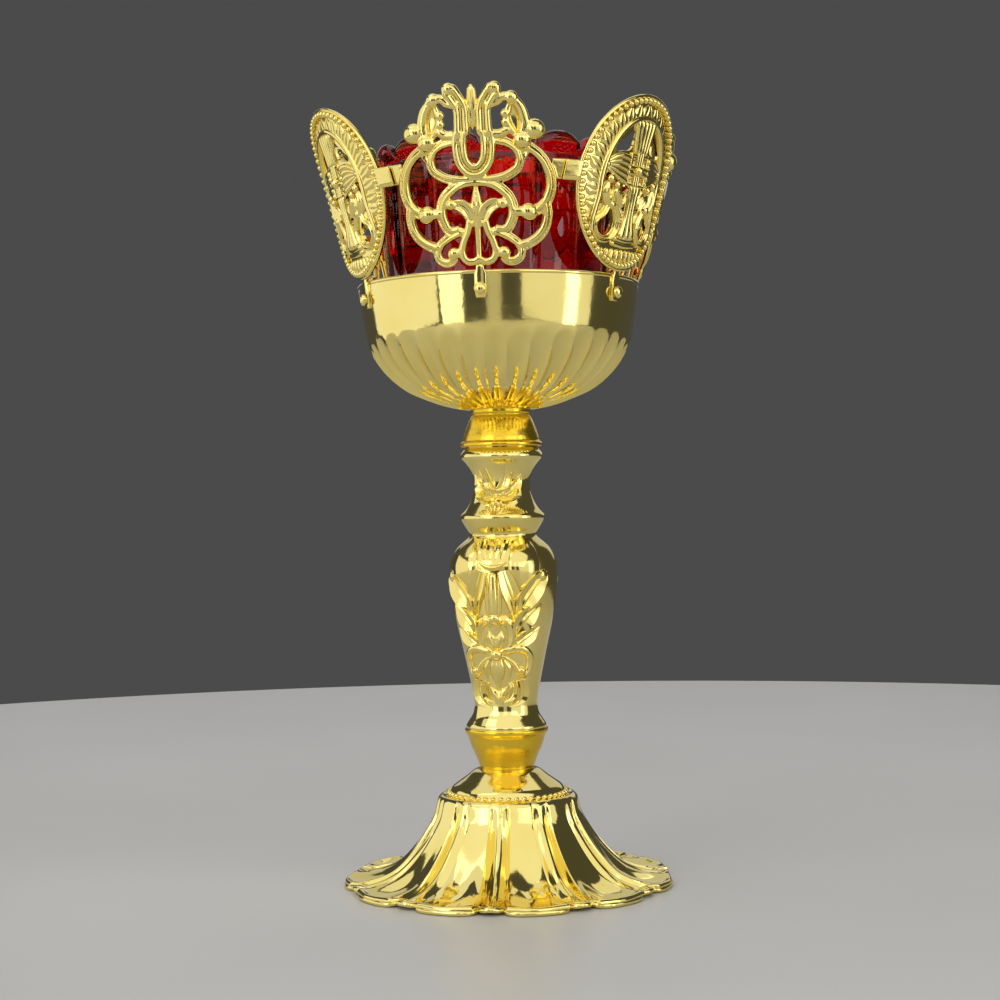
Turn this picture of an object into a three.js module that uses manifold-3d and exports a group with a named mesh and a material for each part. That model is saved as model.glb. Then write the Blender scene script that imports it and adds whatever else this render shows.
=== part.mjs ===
// Votive lamp: a gilded goblet with a fluted petal foot, a cast baluster stem between two turned
// collars, a pressed bowl, a crown of six leaning openwork panels riveted to the bowl, and a ruby glass
// that lifts out.
// Millimetres, +Z up, front towards -Y. The origin is the centre of the plane that the foot rests on.

import * as THREE from 'three';
import { mergeVertices } from 'three/addons/utils/BufferGeometryUtils.js';
import Module from 'manifold-3d';

const wasm = await Module();
wasm.setup();

// Fits
const seatGap = 0.3; // left between curved faces that touch on the real lamp
const rodClearance = 0.3; // round the tie rod, in every hole that it passes
const threadGap = 0.1; // between the rod and its nuts
const sideClearance = 0.2; // round a rivet's shank

// Foot: a bell of pressed sheet with eleven wide petals and eleven small buds between them
const footHeight = 33.0;
const footSheet = 1.1;
const petalCount = 11;
const petalRadius = 47.4;
const budRadius = 45.9;
const valleyRadius = 44.2;
const petalEdgeRadius = 46.5;
const toeRadius = 34.2;
const toeHeight = 2.9;
const shoulderRadius = 20.2;
const shoulderHeight = 24.7;
const hubRadius = 7.6;
const fluteDepth = 1.5;
const lipRise = 1.5;
const lipWidth = 0.6;
const lipDrop = 0.5; // from the lip's crest to the petal's edge
const budRise = 1.3;
const valleyRise = 0.5;
const petalEdgeRise = 1.4; // a petal is dished between its two raised edges
const petalEdgeShare = 0.05; // from the valley to a petal's raised edge, in petal pitches
const petalFlatShare = 0.12; // half the flat middle of a petal, which the lamp stands on
const domeCurve = 1.3; // how fast the dome steepens towards the shoulder
const bellCurve = 1.6; // how fast the bell flattens towards the toe
const dishShares = [0.35, 0.68]; // where a petal's dish starts and ends, from the toe to the rim
const budShareAtHub = 0.24; // half a bud's width, in petal pitches
const budShareAtRim = 0.125;

// Collars, stem and bowl, stacked on the foot
const lowerCollarHeight = 11.9;
const lowerCollarRadius = 12.0;
const stemHeight = 80.9;
const stemRadius = 15.6;
const reliefTurn = THREE.MathUtils.degToRad(-5); // the stem's relief against the crown's front panel
const leafRise = 0.16; // of a leaf's width
const leafEdgeSink = 0.2; // a leaf's edges lie under the stem's surface
const leafDepth = 0.8;
const upperCollarHeight = 10.6;
const upperCollarRadius = 11.9;
const bowlHeight = 36.0;
const bowlRadius = 40.3;
const bowlSheet = 1.0;
const bowlFluteCount = 36;
const bowlFluteDepth = 1.0;
const rimLip = 0.5;
const drillSpare = 5; // how far a rivet's drill stands out of the bowl

// Tie rod with its nuts and washers
const rodRadius = 2.5;
const nutRadius = 4.6;
const nutHeight = 3.0;
const washerRadius = 6.5;
const washerThickness = 0.8;
const rodOverhang = 0.6;

// Crown panels, alternately a scroll and a medallion
const panelPairs = 3;
const panelHalfHeight = 24.2;
const scrollHalfWidth = 21.9;
const medallionHalfWidth = 21.6;
const medallionEgg = 0.08; // how much wider the oval is at its top
const crownLean = THREE.MathUtils.degToRad(14.8);
const scrollThickness = 1.8;
const medallionThickness = 1.4;
const barWidth = 2.9;
const strapHeight = 5.4;
const strapThickness = 0.8;
const strapLap = 3.0;
const strapLevel = 1.7; // above the panel's middle

// Tongues and rivets that hold the panels to the bowl
const tongueWidth = 3.2;
const tongueThickness = 1.0;
const rivetDrop = 5.2; // below the bowl's rim
const tongueTail = 2.4; // below the rivet
const tongueBend = 1.0; // below the rim, where the tongue turns to follow the wall
const tongueRoot = 2.5; // above the rim, inside the panel's foot
const rivetShankRadius = 0.9;
const rivetHeadRadius = 1.6;
const rivetHeadHeight = 1.3;
const rivetTailRadius = 1.35;
const rivetTailHeight = 0.7;

// Ruby glass
const glassHeight = 69.9;
const glassRadius = 34.9;
const glassFootRadius = 23.6;
const glassFloor = 7.0;
const puntDepth = 2.2; // the hollow under the glass's foot, over the nut
const puntRadius = 14.5;
const glassWall = 2.8;
const lobeCount = 14;
const lobeDepth = 1.4;
const lobeDrop = 4.5; // from a lobe's crest to the notch beside it
const mouthDrop = 0.6; // from a lobe's crest to the inner edge of the mouth
const footRing = 2.6; // from the glass's foot edge to the ring that it stands on
const floorRound = 3.0; // the round corner of the floor inside

// Fineness of the round forms
const roundSteps = 24;
const rodSteps = 16;
const rivetSteps = 6;
const knobArcs = 3;
const medallionEdgeSteps = 40;
const openingSteps = 8;

// Where each piece of the stack stands
const lowerCollarBase = footHeight;
const stemBase = lowerCollarBase + lowerCollarHeight;
const upperCollarBase = stemBase + stemHeight;
const bowlBase = upperCollarBase + upperCollarHeight;
const rimHeight = bowlBase + bowlHeight;
const rodHole = rodRadius + rodClearance;

const gilded = { color: 0xd9b948, metalness: 1.0, roughness: 0.16 };
const amberBrass = { color: 0xd0900f, metalness: 1.0, roughness: 0.3 };
const rubyGlass = { color: 0x8f0010, metalness: 0.0, roughness: 0.05, transparent: true, opacity: 0.75 };
const plainSteel = { color: 0xa9a9a4, metalness: 1.0, roughness: 0.4 };

const lamp = new THREE.Group();

function addPiece(name, geometry, finish, azimuth = 0) {
  const piece = new THREE.Mesh(geometry, new THREE.MeshStandardMaterial(finish));
  piece.name = name;
  piece.rotation.z = azimuth;
  lamp.add(piece);
}

// Solids for joining and cutting, and back again.
function toSolid(geometry) {
  const bare = geometry.clone();
  bare.deleteAttribute('normal');
  bare.deleteAttribute('uv');
  const merged = mergeVertices(bare, 1e-5);
  const vertProperties = new Float32Array(merged.attributes.position.array);
  const triVerts = new Uint32Array(merged.index.array);
  return new wasm.Manifold(new wasm.Mesh({ numProp: 3, vertProperties, triVerts }));
}

function toGeometry(solid) {
  const mesh = solid.getMesh();
  const geometry = new THREE.BufferGeometry();
  geometry.setAttribute('position', new THREE.BufferAttribute(new Float32Array(mesh.vertProperties), 3));
  geometry.setIndex(new THREE.BufferAttribute(new Uint32Array(mesh.triVerts), 1));
  geometry.computeVertexNormals();
  return geometry;
}

// A turned piece: the profile is [radius, height] pairs that run up the outside.
function turn(profile, base) {
  const points = profile.map(([radius, height]) => new THREE.Vector2(radius, height));
  const geometry = new THREE.LatheGeometry(points, roundSteps);
  geometry.rotateX(Math.PI / 2);
  geometry.translate(0, 0, base);
  return geometry;
}

// The same for a piece on the tie rod: a bore closes the outside profile on itself.
function turnWithBore(outside, bore, base) {
  const top = outside[outside.length - 1][1];
  const bottom = outside[0][1];
  return turn([[bore, bottom], ...outside, [bore, top], [bore, bottom]], base);
}

// Stretches a drawn profile so that it ends at the given height and reaches the given radius.
function fitProfile(drawn, height, radius) {
  const drawnHeight = drawn[drawn.length - 1][1];
  const drawnRadius = Math.max(...drawn.map(([r]) => r));
  return drawn.map(([r, z]) => [(r * radius) / drawnRadius, (z * height) / drawnHeight]);
}

// A skin through rings of points. Each ring is a list of [x, y, z], or one lone point at a pole. A skin
// without poles closes on itself, from its last ring to its first.
function skin(rings) {
  const positions = [];
  const starts = [];
  for (const ring of rings) {
    starts.push(positions.length / 3);
    ring.forEach((point) => positions.push(...point));
  }
  const index = [];
  const closed = rings[0].length > 1;
  const bands = closed ? rings.length : rings.length - 1;
  for (let band = 0; band < bands; band += 1) {
    const next = (band + 1) % rings.length;
    const steps = Math.max(rings[band].length, rings[next].length);
    for (let step = 0; step < steps; step += 1) {
      const here = rings[band].length === 1 ? [0, 0] : [step, (step + 1) % steps];
      const there = rings[next].length === 1 ? [0, 0] : [step, (step + 1) % steps];
      const a = starts[band] + here[0];
      const b = starts[band] + here[1];
      const c = starts[next] + there[1];
      const d = starts[next] + there[0];
      if (a !== b) index.push(a, b, c);
      if (c !== d) index.push(a, c, d);
    }
  }
  const geometry = new THREE.BufferGeometry();
  geometry.setAttribute('position', new THREE.Float32BufferAttribute(positions, 3));
  geometry.setIndex(index);
  geometry.computeVertexNormals();
  return geometry;
}

function onCircle(radius, angle, height) {
  return [radius * Math.sin(angle), -radius * Math.cos(angle), height];
}

// Where a profile of [radius, height] pairs has a given radius or height.
function heightAtRadius(profile, radius) {
  const k = profile.findIndex(([r], i) => i > 0 && r >= radius);
  const [r0, z0] = profile[k - 1];
  const [r1, z1] = profile[k];
  return z0 + ((z1 - z0) * (radius - r0)) / (r1 - r0);
}

function radiusAtHeight(profile, height) {
  const k = profile.findIndex(([, z], i) => i > 0 && z >= height);
  const [r0, z0] = profile[k - 1];
  const [r1, z1] = profile[k];
  return r0 + ((r1 - r0) * (height - z0)) / (z1 - z0);
}

// A profile moved inwards by a wall, point by point along its normals.
function insideOf(profile, wall) {
  return profile.map(([r, z], i) => {
    const [ra, za] = profile[Math.max(i - 1, 0)];
    const [rb, zb] = profile[Math.min(i + 1, profile.length - 1)];
    const run = Math.hypot(rb - ra, zb - za);
    return [r - (wall * (zb - za)) / run, z + (wall * (rb - ra)) / run];
  });
}

// Foot. Four sections, through a bud, a valley, a petal's edge and its middle, share their points one for
// one, and the skin is lofted through them and back again.
const domeShares = [0.4, 0.72];
const bellShares = [0.28, 0.52, 0.75, 0.9];

function footSection(rim, crest, dishRise, lip) {
  const dome = domeShares.map((share) => {
    const radius = hubRadius + (shoulderRadius - hubRadius) * share;
    return [radius, footHeight - (footHeight - shoulderHeight) * share ** domeCurve];
  });
  const bell = bellShares.map((share) => {
    const radius = shoulderRadius + (toeRadius - shoulderRadius) * share ** bellCurve;
    return [radius - fluteDepth * (1 - crest), shoulderHeight - (shoulderHeight - toeHeight) * share];
  });
  const [dishStart, dishEnd] = dishShares.map((share) => toeRadius + (rim - toeRadius) * share);
  const outside = [
    [rodHole, footHeight],
    [hubRadius, footHeight],
    ...dome,
    [shoulderRadius - fluteDepth * 0.4 * (1 - crest), shoulderHeight],
    ...bell,
    [toeRadius, toeHeight + dishRise * 0.8],
    [dishStart, footSheet + dishRise],
    [dishEnd, footSheet + dishRise],
    [rim - lipWidth, footSheet + lip],
    [rim, footSheet + lip - lipDrop],
  ];
  const underside = [
    [rim - lipWidth, lip - lipDrop],
    [dishEnd, dishRise],
    [dishStart, dishRise],
    [toeRadius - footSheet, toeHeight + dishRise * 0.8 - footSheet * 0.4],
    [bell[1][0] - footSheet, bell[1][1] - footSheet * 0.5],
    [shoulderRadius - footSheet * 1.4, shoulderHeight - footSheet * 0.5],
    [hubRadius, footHeight - footSheet],
    [rodHole, footHeight - footSheet],
  ];
  return [...outside, ...underside].reverse();
}

function makeFoot() {
  const bud = footSection(budRadius, 1.0, budRise, lipRise);
  const valley = footSection(valleyRadius, 0.0, valleyRise, lipRise * 0.4);
  const edge = footSection(petalEdgeRadius, 1.0, petalEdgeRise, lipRise);
  const middle = footSection(petalRadius, 1.0, 0.0, lipRise);
  const pitch = (2 * Math.PI) / petalCount;
  const rings = bud.map(() => []);
  for (let k = 0; k < petalCount; k += 1) {
    for (let i = 0; i < bud.length; i += 1) {
      // the small flute over a bud is wider on the bell than at the rim
      const reach = Math.min(bud[i][0] / petalRadius, 1);
      const valleyShare = budShareAtHub + (budShareAtRim - budShareAtHub) * reach;
      const edgeShare = valleyShare + petalEdgeShare;
      const stations = [
        [bud, 0],
        [valley, valleyShare],
        [edge, edgeShare],
        [middle, 0.5 - petalFlatShare],
        [middle, 0.5 + petalFlatShare],
        [edge, 1 - edgeShare],
        [valley, 1 - valleyShare],
      ];
      for (const [section, share] of stations) {
        const [radius, height] = section[i];
        rings[i].push(onCircle(radius, (k + share) * pitch, height));
      }
    }
  }
  return skin(rings);
}

// Collars and stem
const lowerCollarProfile = fitProfile(
  [[7.8, 0], [7.8, 0.7], [8.6, 3.0], [10.1, 6.3], [11.0, 9.3], [12.05, 10.8], [12.05, 11.9]],
  lowerCollarHeight,
  lowerCollarRadius,
);

const stemDrawn = [
  [11.5, 0], [11.5, 0.8], [9.4, 4.2], [9.2, 7.6], [10.2, 13.9], [12.1, 22.8], [14.2, 31.7],
  [15.2, 38.5], [15.6, 44.5], [15.3, 48.0], [13.6, 51.3], [12.0, 53.0], [10.0, 54.9], [9.8, 56.2],
  [12.2, 60.0], [12.2, 61.2], [10.4, 63.2], [9.0, 65.5], [8.1, 68.8], [8.2, 71.6], [9.5, 74.5],
  [10.7, 76.2], [12.0, 77.9], [10.4, 80.9],
];
const stemProfile = fitProfile(stemDrawn, stemHeight, stemRadius);
const stemStretch = stemHeight / stemDrawn[stemDrawn.length - 1][1];

// The main leaves of the cast relief. A leaf is its points, each [across, up, width], drawn as the stem's
// profile is, from the middle of the relief, with its two ends closed to a point.
const sideLeaves = [
  [[6.0, 54.0, 0], [8.2, 50.5, 8.0], [9.6, 46.0, 9.0], [8.6, 38.0, 0]],
  [[6.2, 31.0, 0], [8.6, 36.5, 6.0], [12.4, 41.8, 5.5], [17.0, 45.0, 0]],
  [[6.0, 27.2, 0], [9.0, 31.6, 5.0], [14.6, 36.2, 0]],
  [[5.8, 23.4, 0], [9.0, 26.2, 4.2], [14.0, 29.6, 0]],
  [[2.4, 46.0, 0], [4.4, 41.0, 4.6], [6.0, 35.5, 4.4], [5.2, 30.0, 0]],
  [[0.4, 21.6, 0], [5.4, 23.0, 3.0], [10.2, 20.6, 2.6], [8.4, 15.6, 2.4], [5.0, 17.0, 0]],
  [[6.4, 15.0, 0], [6.2, 10.4, 3.0], [2.4, 6.6, 0]],
];
const middleLeaf = [[0, 21.5, 0], [0, 17.0, 5.4], [0, 12.0, 0]];

function ontoStem(across, up, out, turn) {
  const radius = radiusAtHeight(stemProfile, up);
  return onCircle(radius + out, across / radius + reliefTurn + turn, stemBase + up);
}

function stemLeaf(drawn, side, turn) {
  const line = drawn.map(([u, v, width]) => [side * u * stemStretch, v * stemStretch, width * stemStretch]);
  const last = line.length - 1;
  const rings = line.map(([u, v, width], i) => {
    if (i === 0 || i === last) {
      return [ontoStem(u, v, -leafDepth / 2, turn)];
    }
    const [u0, v0] = line[i - 1];
    const [u1, v1] = line[i + 1];
    const half = width / 2 / Math.hypot(u1 - u0, v1 - v0);
    const aside = -(v1 - v0) * half;
    const raised = (u1 - u0) * half;
    return [
      ontoStem(u + aside, v + raised, -leafEdgeSink, turn),
      ontoStem(u, v, width * leafRise, turn),
      ontoStem(u - aside, v - raised, -leafEdgeSink, turn),
      ontoStem(u, v, -leafDepth, turn),
    ];
  });
  return toSolid(skin(rings));
}

function makeStem() {
  let stem = toSolid(turnWithBore(stemProfile, rodHole, stemBase));
  for (const turn of [0, Math.PI]) {
    stem = stem.add(stemLeaf(middleLeaf, 1, turn));
    for (const side of [-1, 1]) {
      for (const leaf of sideLeaves) {
        stem = stem.add(stemLeaf(leaf, side, turn));
      }
    }
  }
  return toGeometry(stem);
}

const upperCollarProfile = fitProfile(
  [[11.9, 0], [11.9, 0.6], [11.1, 2.3], [10.1, 5.2], [9.3, 7.8], [8.4, 9.3], [8.6, 10.6]],
  upperCollarHeight,
  upperCollarRadius,
);

// Bowl. The flutes start near the floor and die out below the plain band under the rim.
const bowlProfile = fitProfile(
  [[8.6, 0], [20.2, 2.8], [27.5, 6.1], [33.6, 11.6], [37.5, 18.2], [39.0, 25.5], [40.3, 36.0]],
  bowlHeight,
  bowlRadius,
);
const bowlInside = insideOf(bowlProfile, bowlSheet);
const bowlFluteShares = [0, 0.8, 1, 1, 0.7, 0, 0];

// The bottom of a flute lies further in and higher than its crest.
function intoFlute([radius, height], share) {
  const inset = bowlFluteDepth * share;
  return [radius - inset * 0.8, height + inset * 0.4];
}

function bowlRings(profile, shares) {
  const steps = bowlFluteCount * 2;
  return profile.map((crest, i) => {
    const bottom = intoFlute(crest, shares[i]);
    const ring = [];
    for (let step = 0; step < steps; step += 1) {
      const [radius, height] = step % 2 === 0 ? crest : bottom;
      ring.push(onCircle(radius, (step * 2 * Math.PI) / steps, bowlBase + height));
    }
    return ring;
  });
}

function makeBowl() {
  const hubUnder = [rodHole, 0];
  const hubOver = [rodHole, bowlSheet];
  const wall = bowlInside.slice(1, -1).reverse();
  const wallShares = bowlFluteShares.slice(1, -1).reverse();
  const profile = [
    hubUnder,
    ...bowlProfile,
    [bowlRadius - rimLip, bowlHeight],
    [bowlRadius - bowlSheet - rimLip, bowlHeight - rimLip],
    ...wall,
    [bowlProfile[0][0], bowlSheet],
    hubOver,
  ];
  const shares = [0, ...bowlFluteShares, 0, 0, ...wallShares, 0, 0];
  const shell = toSolid(skin(bowlRings(profile, shares)));
  return toGeometry(cutAllRound(shell));
}

// Round holes for the rivets, drilled through the bowl's wall all the way round.
function cutAllRound(shell) {
  let drilled = shell;
  const drill = new THREE.CylinderGeometry(rivetHole, rivetHole, 2 * (bowlRadius + drillSpare), rivetSteps);
  drill.translate(0, 0, rivetHeight);
  for (let k = 0; k < panelPairs; k += 1) {
    const turned = drill.clone();
    turned.rotateZ((k * Math.PI) / panelPairs);
    drilled = drilled.subtract(toSolid(turned));
  }
  return drilled;
}

const rivetHeight = rimHeight - rivetDrop;
const rivetHole = rivetShankRadius + sideClearance;

// Crown. A panel is drawn flat, u across, v up and w outwards, and then bent round the lamp's axis while
// it leans out, with its foot just above the bowl's rim.
const panelFootRadius = bowlRadius + scrollThickness / 2;
const crownRadius = panelFootRadius + panelHalfHeight * Math.sin(crownLean);
const crownHeight = rimHeight + seatGap + panelHalfHeight * Math.cos(crownLean)
  + (scrollThickness / 2) * Math.sin(crownLean);

function bendIntoCrown(geometry) {
  const position = geometry.attributes.position;
  for (let i = 0; i < position.count; i += 1) {
    const v = position.getY(i);
    const w = position.getZ(i);
    const radius = crownRadius + v * Math.sin(crownLean);
    const height = crownHeight + v * Math.cos(crownLean) - w * Math.sin(crownLean);
    position.setXYZ(i, ...onCircle(radius + w * Math.cos(crownLean), position.getX(i) / radius, height));
  }
  return geometry;
}

function flatPlate(shape, thickness, segments) {
  const plate = new THREE.ExtrudeGeometry(shape, {
    depth: thickness,
    bevelEnabled: false,
    curveSegments: segments,
  });
  plate.translate(0, 0, -thickness / 2);
  return toSolid(plate);
}

// A bar of scrollwork: a smooth line through points given as shares of the panel's half width and half
// height.
function scrollBar(shares, width, side) {
  const points = shares.map(([u, v]) => new THREE.Vector2(side * u * scrollHalfWidth, v * panelHalfHeight));
  const line = new THREE.SplineCurve(points);
  const steps = points.length - 1;
  const leftEdge = [];
  const rightEdge = [];
  for (let step = 0; step <= steps; step += 1) {
    const middle = line.getPointAt(step / steps);
    const along = line.getTangentAt(step / steps);
    const across = new THREE.Vector2(-along.y, along.x).multiplyScalar(width / 2);
    leftEdge.push(middle.clone().add(across));
    rightEdge.unshift(middle.clone().sub(across));
  }
  return flatPlate(new THREE.Shape([...leftEdge, ...rightEdge]), scrollThickness, 1);
}

function scrollKnob([u, v], share, side) {
  const radius = (barWidth * share) / 2;
  const shape = new THREE.Shape();
  shape.absarc(side * u * scrollHalfWidth, v * panelHalfHeight, radius, 0, 2 * Math.PI);
  return flatPlate(shape, scrollThickness, knobArcs);
}

// One half of the scroll panel: [points, share of the bar width].
const scrollBars = [
  [[[0.28, 0.93], [0.19, 0.835], [0.13, 0.725], [0.125, 0.6], [0.125, 0.44]], 1.12],
  [[[0.475, 0.825], [0.385, 0.835], [0.285, 0.775], [0.17, 0.75]], 0.8],
  [[[0.475, 0.82], [0.51, 0.62], [0.53, 0.5], [0.56, 0.36]], 1.75],
  [[[0.43, 0.48], [0.34, 0.445], [0.17, 0.44]], 0.8],
  [[[0.58, 0.37], [0.57, 0.22]], 1.0],
  [[[0.17, 0.4], [0.29, 0.37], [0.43, 0.335], [0.535, 0.24], [0.54, 0.11], [0.43, 0.01], [0.225, -0.05],
    [0, -0.055]], 0.88],
  [[[0.585, 0.375], [0.75, 0.49]], 1.0],
  [[[0.58, 0.35], [0.68, 0.295], [0.79, 0.22], [0.89, 0.09], [0.93, -0.065], [0.9, -0.22], [0.8, -0.345],
    [0.665, -0.405]], 1.0],
  [[[0.66, -0.4], [0.43, -0.4]], 0.75],
  [[[0.86, -0.31], [0.865, -0.47], [0.8, -0.615], [0.665, -0.725], [0.5, -0.79]], 0.98],
  [[[0, -0.06], [0.165, -0.08], [0.31, -0.15], [0.41, -0.25], [0.445, -0.38], [0.415, -0.51], [0.335, -0.6],
    [0.22, -0.6]], 0.88],
  [[[0.2, -0.6], [0.29, -0.635], [0.4, -0.685], [0.495, -0.765], [0.52, -0.86], [0.46, -0.93],
    [0.36, -0.94], [0.3, -0.885]], 0.78],
  [[[0.095, -0.51], [0.08, -0.415], [0.135, -0.33], [0.22, -0.285], [0.315, -0.3]], 0.8],
  [[[0.095, -0.5], [0.125, -0.61], [0.185, -0.735], [0.205, -0.855], [0.155, -0.93], [0.07, -0.945],
    [0, -0.91]], 0.7],
];
const cupLoop = [
  [-0.16, 0.47], [-0.17, 0.27], [-0.12, 0.115], [0, 0.045], [0.12, 0.115], [0.17, 0.27], [0.16, 0.47],
];
const scrollKnobs = [
  [[0.475, 0.825], 1.0],
  [[0.75, 0.49], 1.38],
  [[0.585, 0.375], 1.38],
  [[0.64, -0.403], 1.24],
  [[0.31, -0.845], 0.83],
];

function makeScrollPlate() {
  let plate = scrollBar(cupLoop, barWidth * 1.2, 1);
  plate = plate.add(scrollBar([[0, 0.96], [0, 0.5]], barWidth * 0.85, 1));
  plate = plate.add(scrollBar([[0, -0.1], [0, -0.95]], barWidth * 0.65, 1));
  for (const side of [-1, 1]) {
    for (const [points, share] of scrollBars) {
      plate = plate.add(scrollBar(points, barWidth * share, side));
    }
    for (const [centre, share] of scrollKnobs) {
      plate = plate.add(scrollKnob(centre, share, side));
    }
  }
  return plate;
}

// The medallion: an egg-shaped plate pierced round a cross that stands on a flared pillar.
const medallionOpenings = [
  [[0.1, 0.55], [0.22, 0.6], [0.37, 0.5], [0.46, 0.37], [0.28, 0.4], [0.11, 0.4]],
  [[0.5, 0.16], [0.51, 0.02], [0.42, -0.03], [0.31, 0.02], [0.36, 0.12]],
  [[0.09, 0.0], [0.17, -0.02], [0.15, -0.16], [0.21, -0.3], [0.21, -0.42], [0.15, -0.45], [0.11, -0.25]],
  [[0.45, -0.2], [0.52, -0.29], [0.53, -0.42], [0.46, -0.52], [0.38, -0.48], [0.38, -0.34]],
];
function medallionEdge() {
  const edge = [];
  for (let step = 0; step < medallionEdgeSteps; step += 1) {
    const angle = (step * 2 * Math.PI) / medallionEdgeSteps;
    const across = medallionHalfWidth * Math.cos(angle) * (1 + medallionEgg * Math.sin(angle));
    edge.push(new THREE.Vector2(across, panelHalfHeight * Math.sin(angle)));
  }
  return edge;
}

function makeMedallionPlate() {
  const shape = new THREE.Shape(medallionEdge());
  for (const side of [-1, 1]) {
    for (const shares of medallionOpenings) {
      const points = shares.map(
        ([u, v]) => new THREE.Vector3(side * u * medallionHalfWidth, v * panelHalfHeight, 0),
      );
      const edge = new THREE.CatmullRomCurve3(points, true).getPoints(openingSteps).slice(0, -1);
      shape.holes.push(new THREE.Path(edge.map((point) => new THREE.Vector2(point.x, point.y))));
    }
  }
  return flatPlate(shape, medallionThickness, 1);
}

// Neighbouring panels meet in lapped straps: the medallion's lies outside, the scroll's inside.
const strapGap = (2 * Math.PI * crownRadius) / (2 * panelPairs) - scrollHalfWidth - medallionHalfWidth;
const strapReach = (strapGap + strapLap) / 2;

function addStraps(plate, halfWidth, outwards) {
  const root = barWidth;
  let strapped = plate;
  for (const side of [-1, 1]) {
    const strap = new THREE.BoxGeometry(strapReach + root, strapHeight, strapThickness);
    const middle = halfWidth + (strapReach - root) / 2;
    strap.translate(side * middle, strapLevel, (outwards * (strapThickness + seatGap)) / 2);
    strapped = strapped.add(toSolid(strap));
  }
  return strapped;
}

// The tongue hangs from the panel's foot down the outside of the bowl, and is drilled for its rivet.
const tongueFootHeight = rivetHeight - tongueTail;
const wallAtRivet = radiusAtHeight(bowlProfile, rivetHeight - bowlBase);
const wallAtTongueFoot = radiusAtHeight(bowlProfile, tongueFootHeight - bowlBase);

function makeTongue() {
  const rimClear = bowlRadius + seatGap;
  const footClear = wallAtTongueFoot + seatGap;
  const rivetClear = wallAtRivet + seatGap;
  const shape = new THREE.Shape([
    new THREE.Vector2(footClear, tongueFootHeight),
    new THREE.Vector2(footClear + tongueThickness, tongueFootHeight),
    new THREE.Vector2(rivetClear + tongueThickness, rivetHeight + rivetHeadRadius),
    new THREE.Vector2(rimClear + tongueThickness, rimHeight - tongueBend),
    new THREE.Vector2(rimClear + tongueThickness, rimHeight + tongueRoot),
    new THREE.Vector2(rimClear + tongueThickness * 0.2, rimHeight + tongueRoot),
    new THREE.Vector2(rimClear, rimHeight),
    new THREE.Vector2(rimClear, rimHeight - tongueBend),
    new THREE.Vector2(rivetClear, rivetHeight),
  ]);
  const bar = new THREE.ExtrudeGeometry(shape, { depth: tongueWidth, bevelEnabled: false });
  const outwards = new THREE.Vector3(0, -1, 0);
  const up = new THREE.Vector3(0, 0, 1);
  bar.applyMatrix4(new THREE.Matrix4().makeBasis(outwards, up, new THREE.Vector3(-1, 0, 0)));
  bar.translate(tongueWidth / 2, 0, 0);
  const drill = new THREE.CylinderGeometry(rivetHole, rivetHole, 4 * drillSpare, rivetSteps);
  drill.translate(0, -bowlRadius, rivetHeight);
  return toSolid(bar).subtract(toSolid(drill));
}

function makePanel(plate) {
  const bent = bendIntoCrown(toGeometry(plate.asOriginal().simplify()));
  return toGeometry(toSolid(bent).add(makeTongue()));
}

// A rivet, drawn along its own axis from the tail inside the bowl to the head outside the tongue.
function makeRivet() {
  const tailFace = radiusAtHeight(bowlInside, rivetHeight - rivetTailRadius - bowlBase) - seatGap;
  const headFace = wallAtRivet + seatGap + tongueThickness + seatGap;
  const profile = [
    [0, tailFace - rivetTailHeight],
    [rivetTailRadius, tailFace - rivetTailHeight * 0.6],
    [rivetTailRadius, tailFace],
    [rivetShankRadius, tailFace],
    [rivetShankRadius, headFace],
    [rivetHeadRadius, headFace],
    [rivetHeadRadius * 0.8, headFace + rivetHeadHeight * 0.65],
    [0, headFace + rivetHeadHeight],
  ];
  const points = profile.map(([radius, reach]) => new THREE.Vector2(radius, reach));
  const rivet = new THREE.LatheGeometry(points, rivetSteps);
  rivet.rotateX(Math.PI);
  rivet.translate(0, 0, rivetHeight);
  return rivet;
}

// Glass. Its foot stands on the bowl's fluted slope, over the nut. The lobes of the rim run on down the
// wall as soft flutes.
const glassOutside = fitProfile(
  [
    [glassFootRadius - footRing, 0], [glassFootRadius, 1.4], [27.0, 10.0], [30.6, 24.0], [33.0, 42.0],
    [34.0, 62.2], [33.4, 63.8], [34.9, 66.2], [34.5, 68.6], [33.4, 69.9],
  ],
  glassHeight,
  glassRadius,
);
const bowlValleys = bowlInside.map((point, i) => intoFlute(point, bowlFluteShares[i]));
const glassSeats = glassOutside.slice(0, 4).map(([r, z]) => heightAtRadius(bowlValleys, r) - z);
const glassBase = bowlBase + Math.max(...glassSeats) + seatGap;
const glassLobeShares = [0, 0, 0.3, 0.5, 0.6, 0.8, 0.8, 1, 1, 1];
const glassDropShares = [0, 0, 0, 0, 0, 0, 0, 0.25, 0.7, 1];

function lobeShape(share) {
  return Math.sqrt(Math.max(0, 1 - (2 * share - 1) ** 2));
}

function glassRing(radius, height, lobe, drop) {
  const steps = lobeCount * 4;
  const ring = [];
  for (let step = 0; step < steps; step += 1) {
    const hollow = 1 - lobeShape((step % 4) / 4);
    const angle = (step * 2 * Math.PI) / steps;
    const notch = lobeDrop * drop * hollow;
    ring.push(onCircle(radius - lobeDepth * lobe * hollow, angle, glassBase + height - notch));
  }
  return ring;
}

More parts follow.
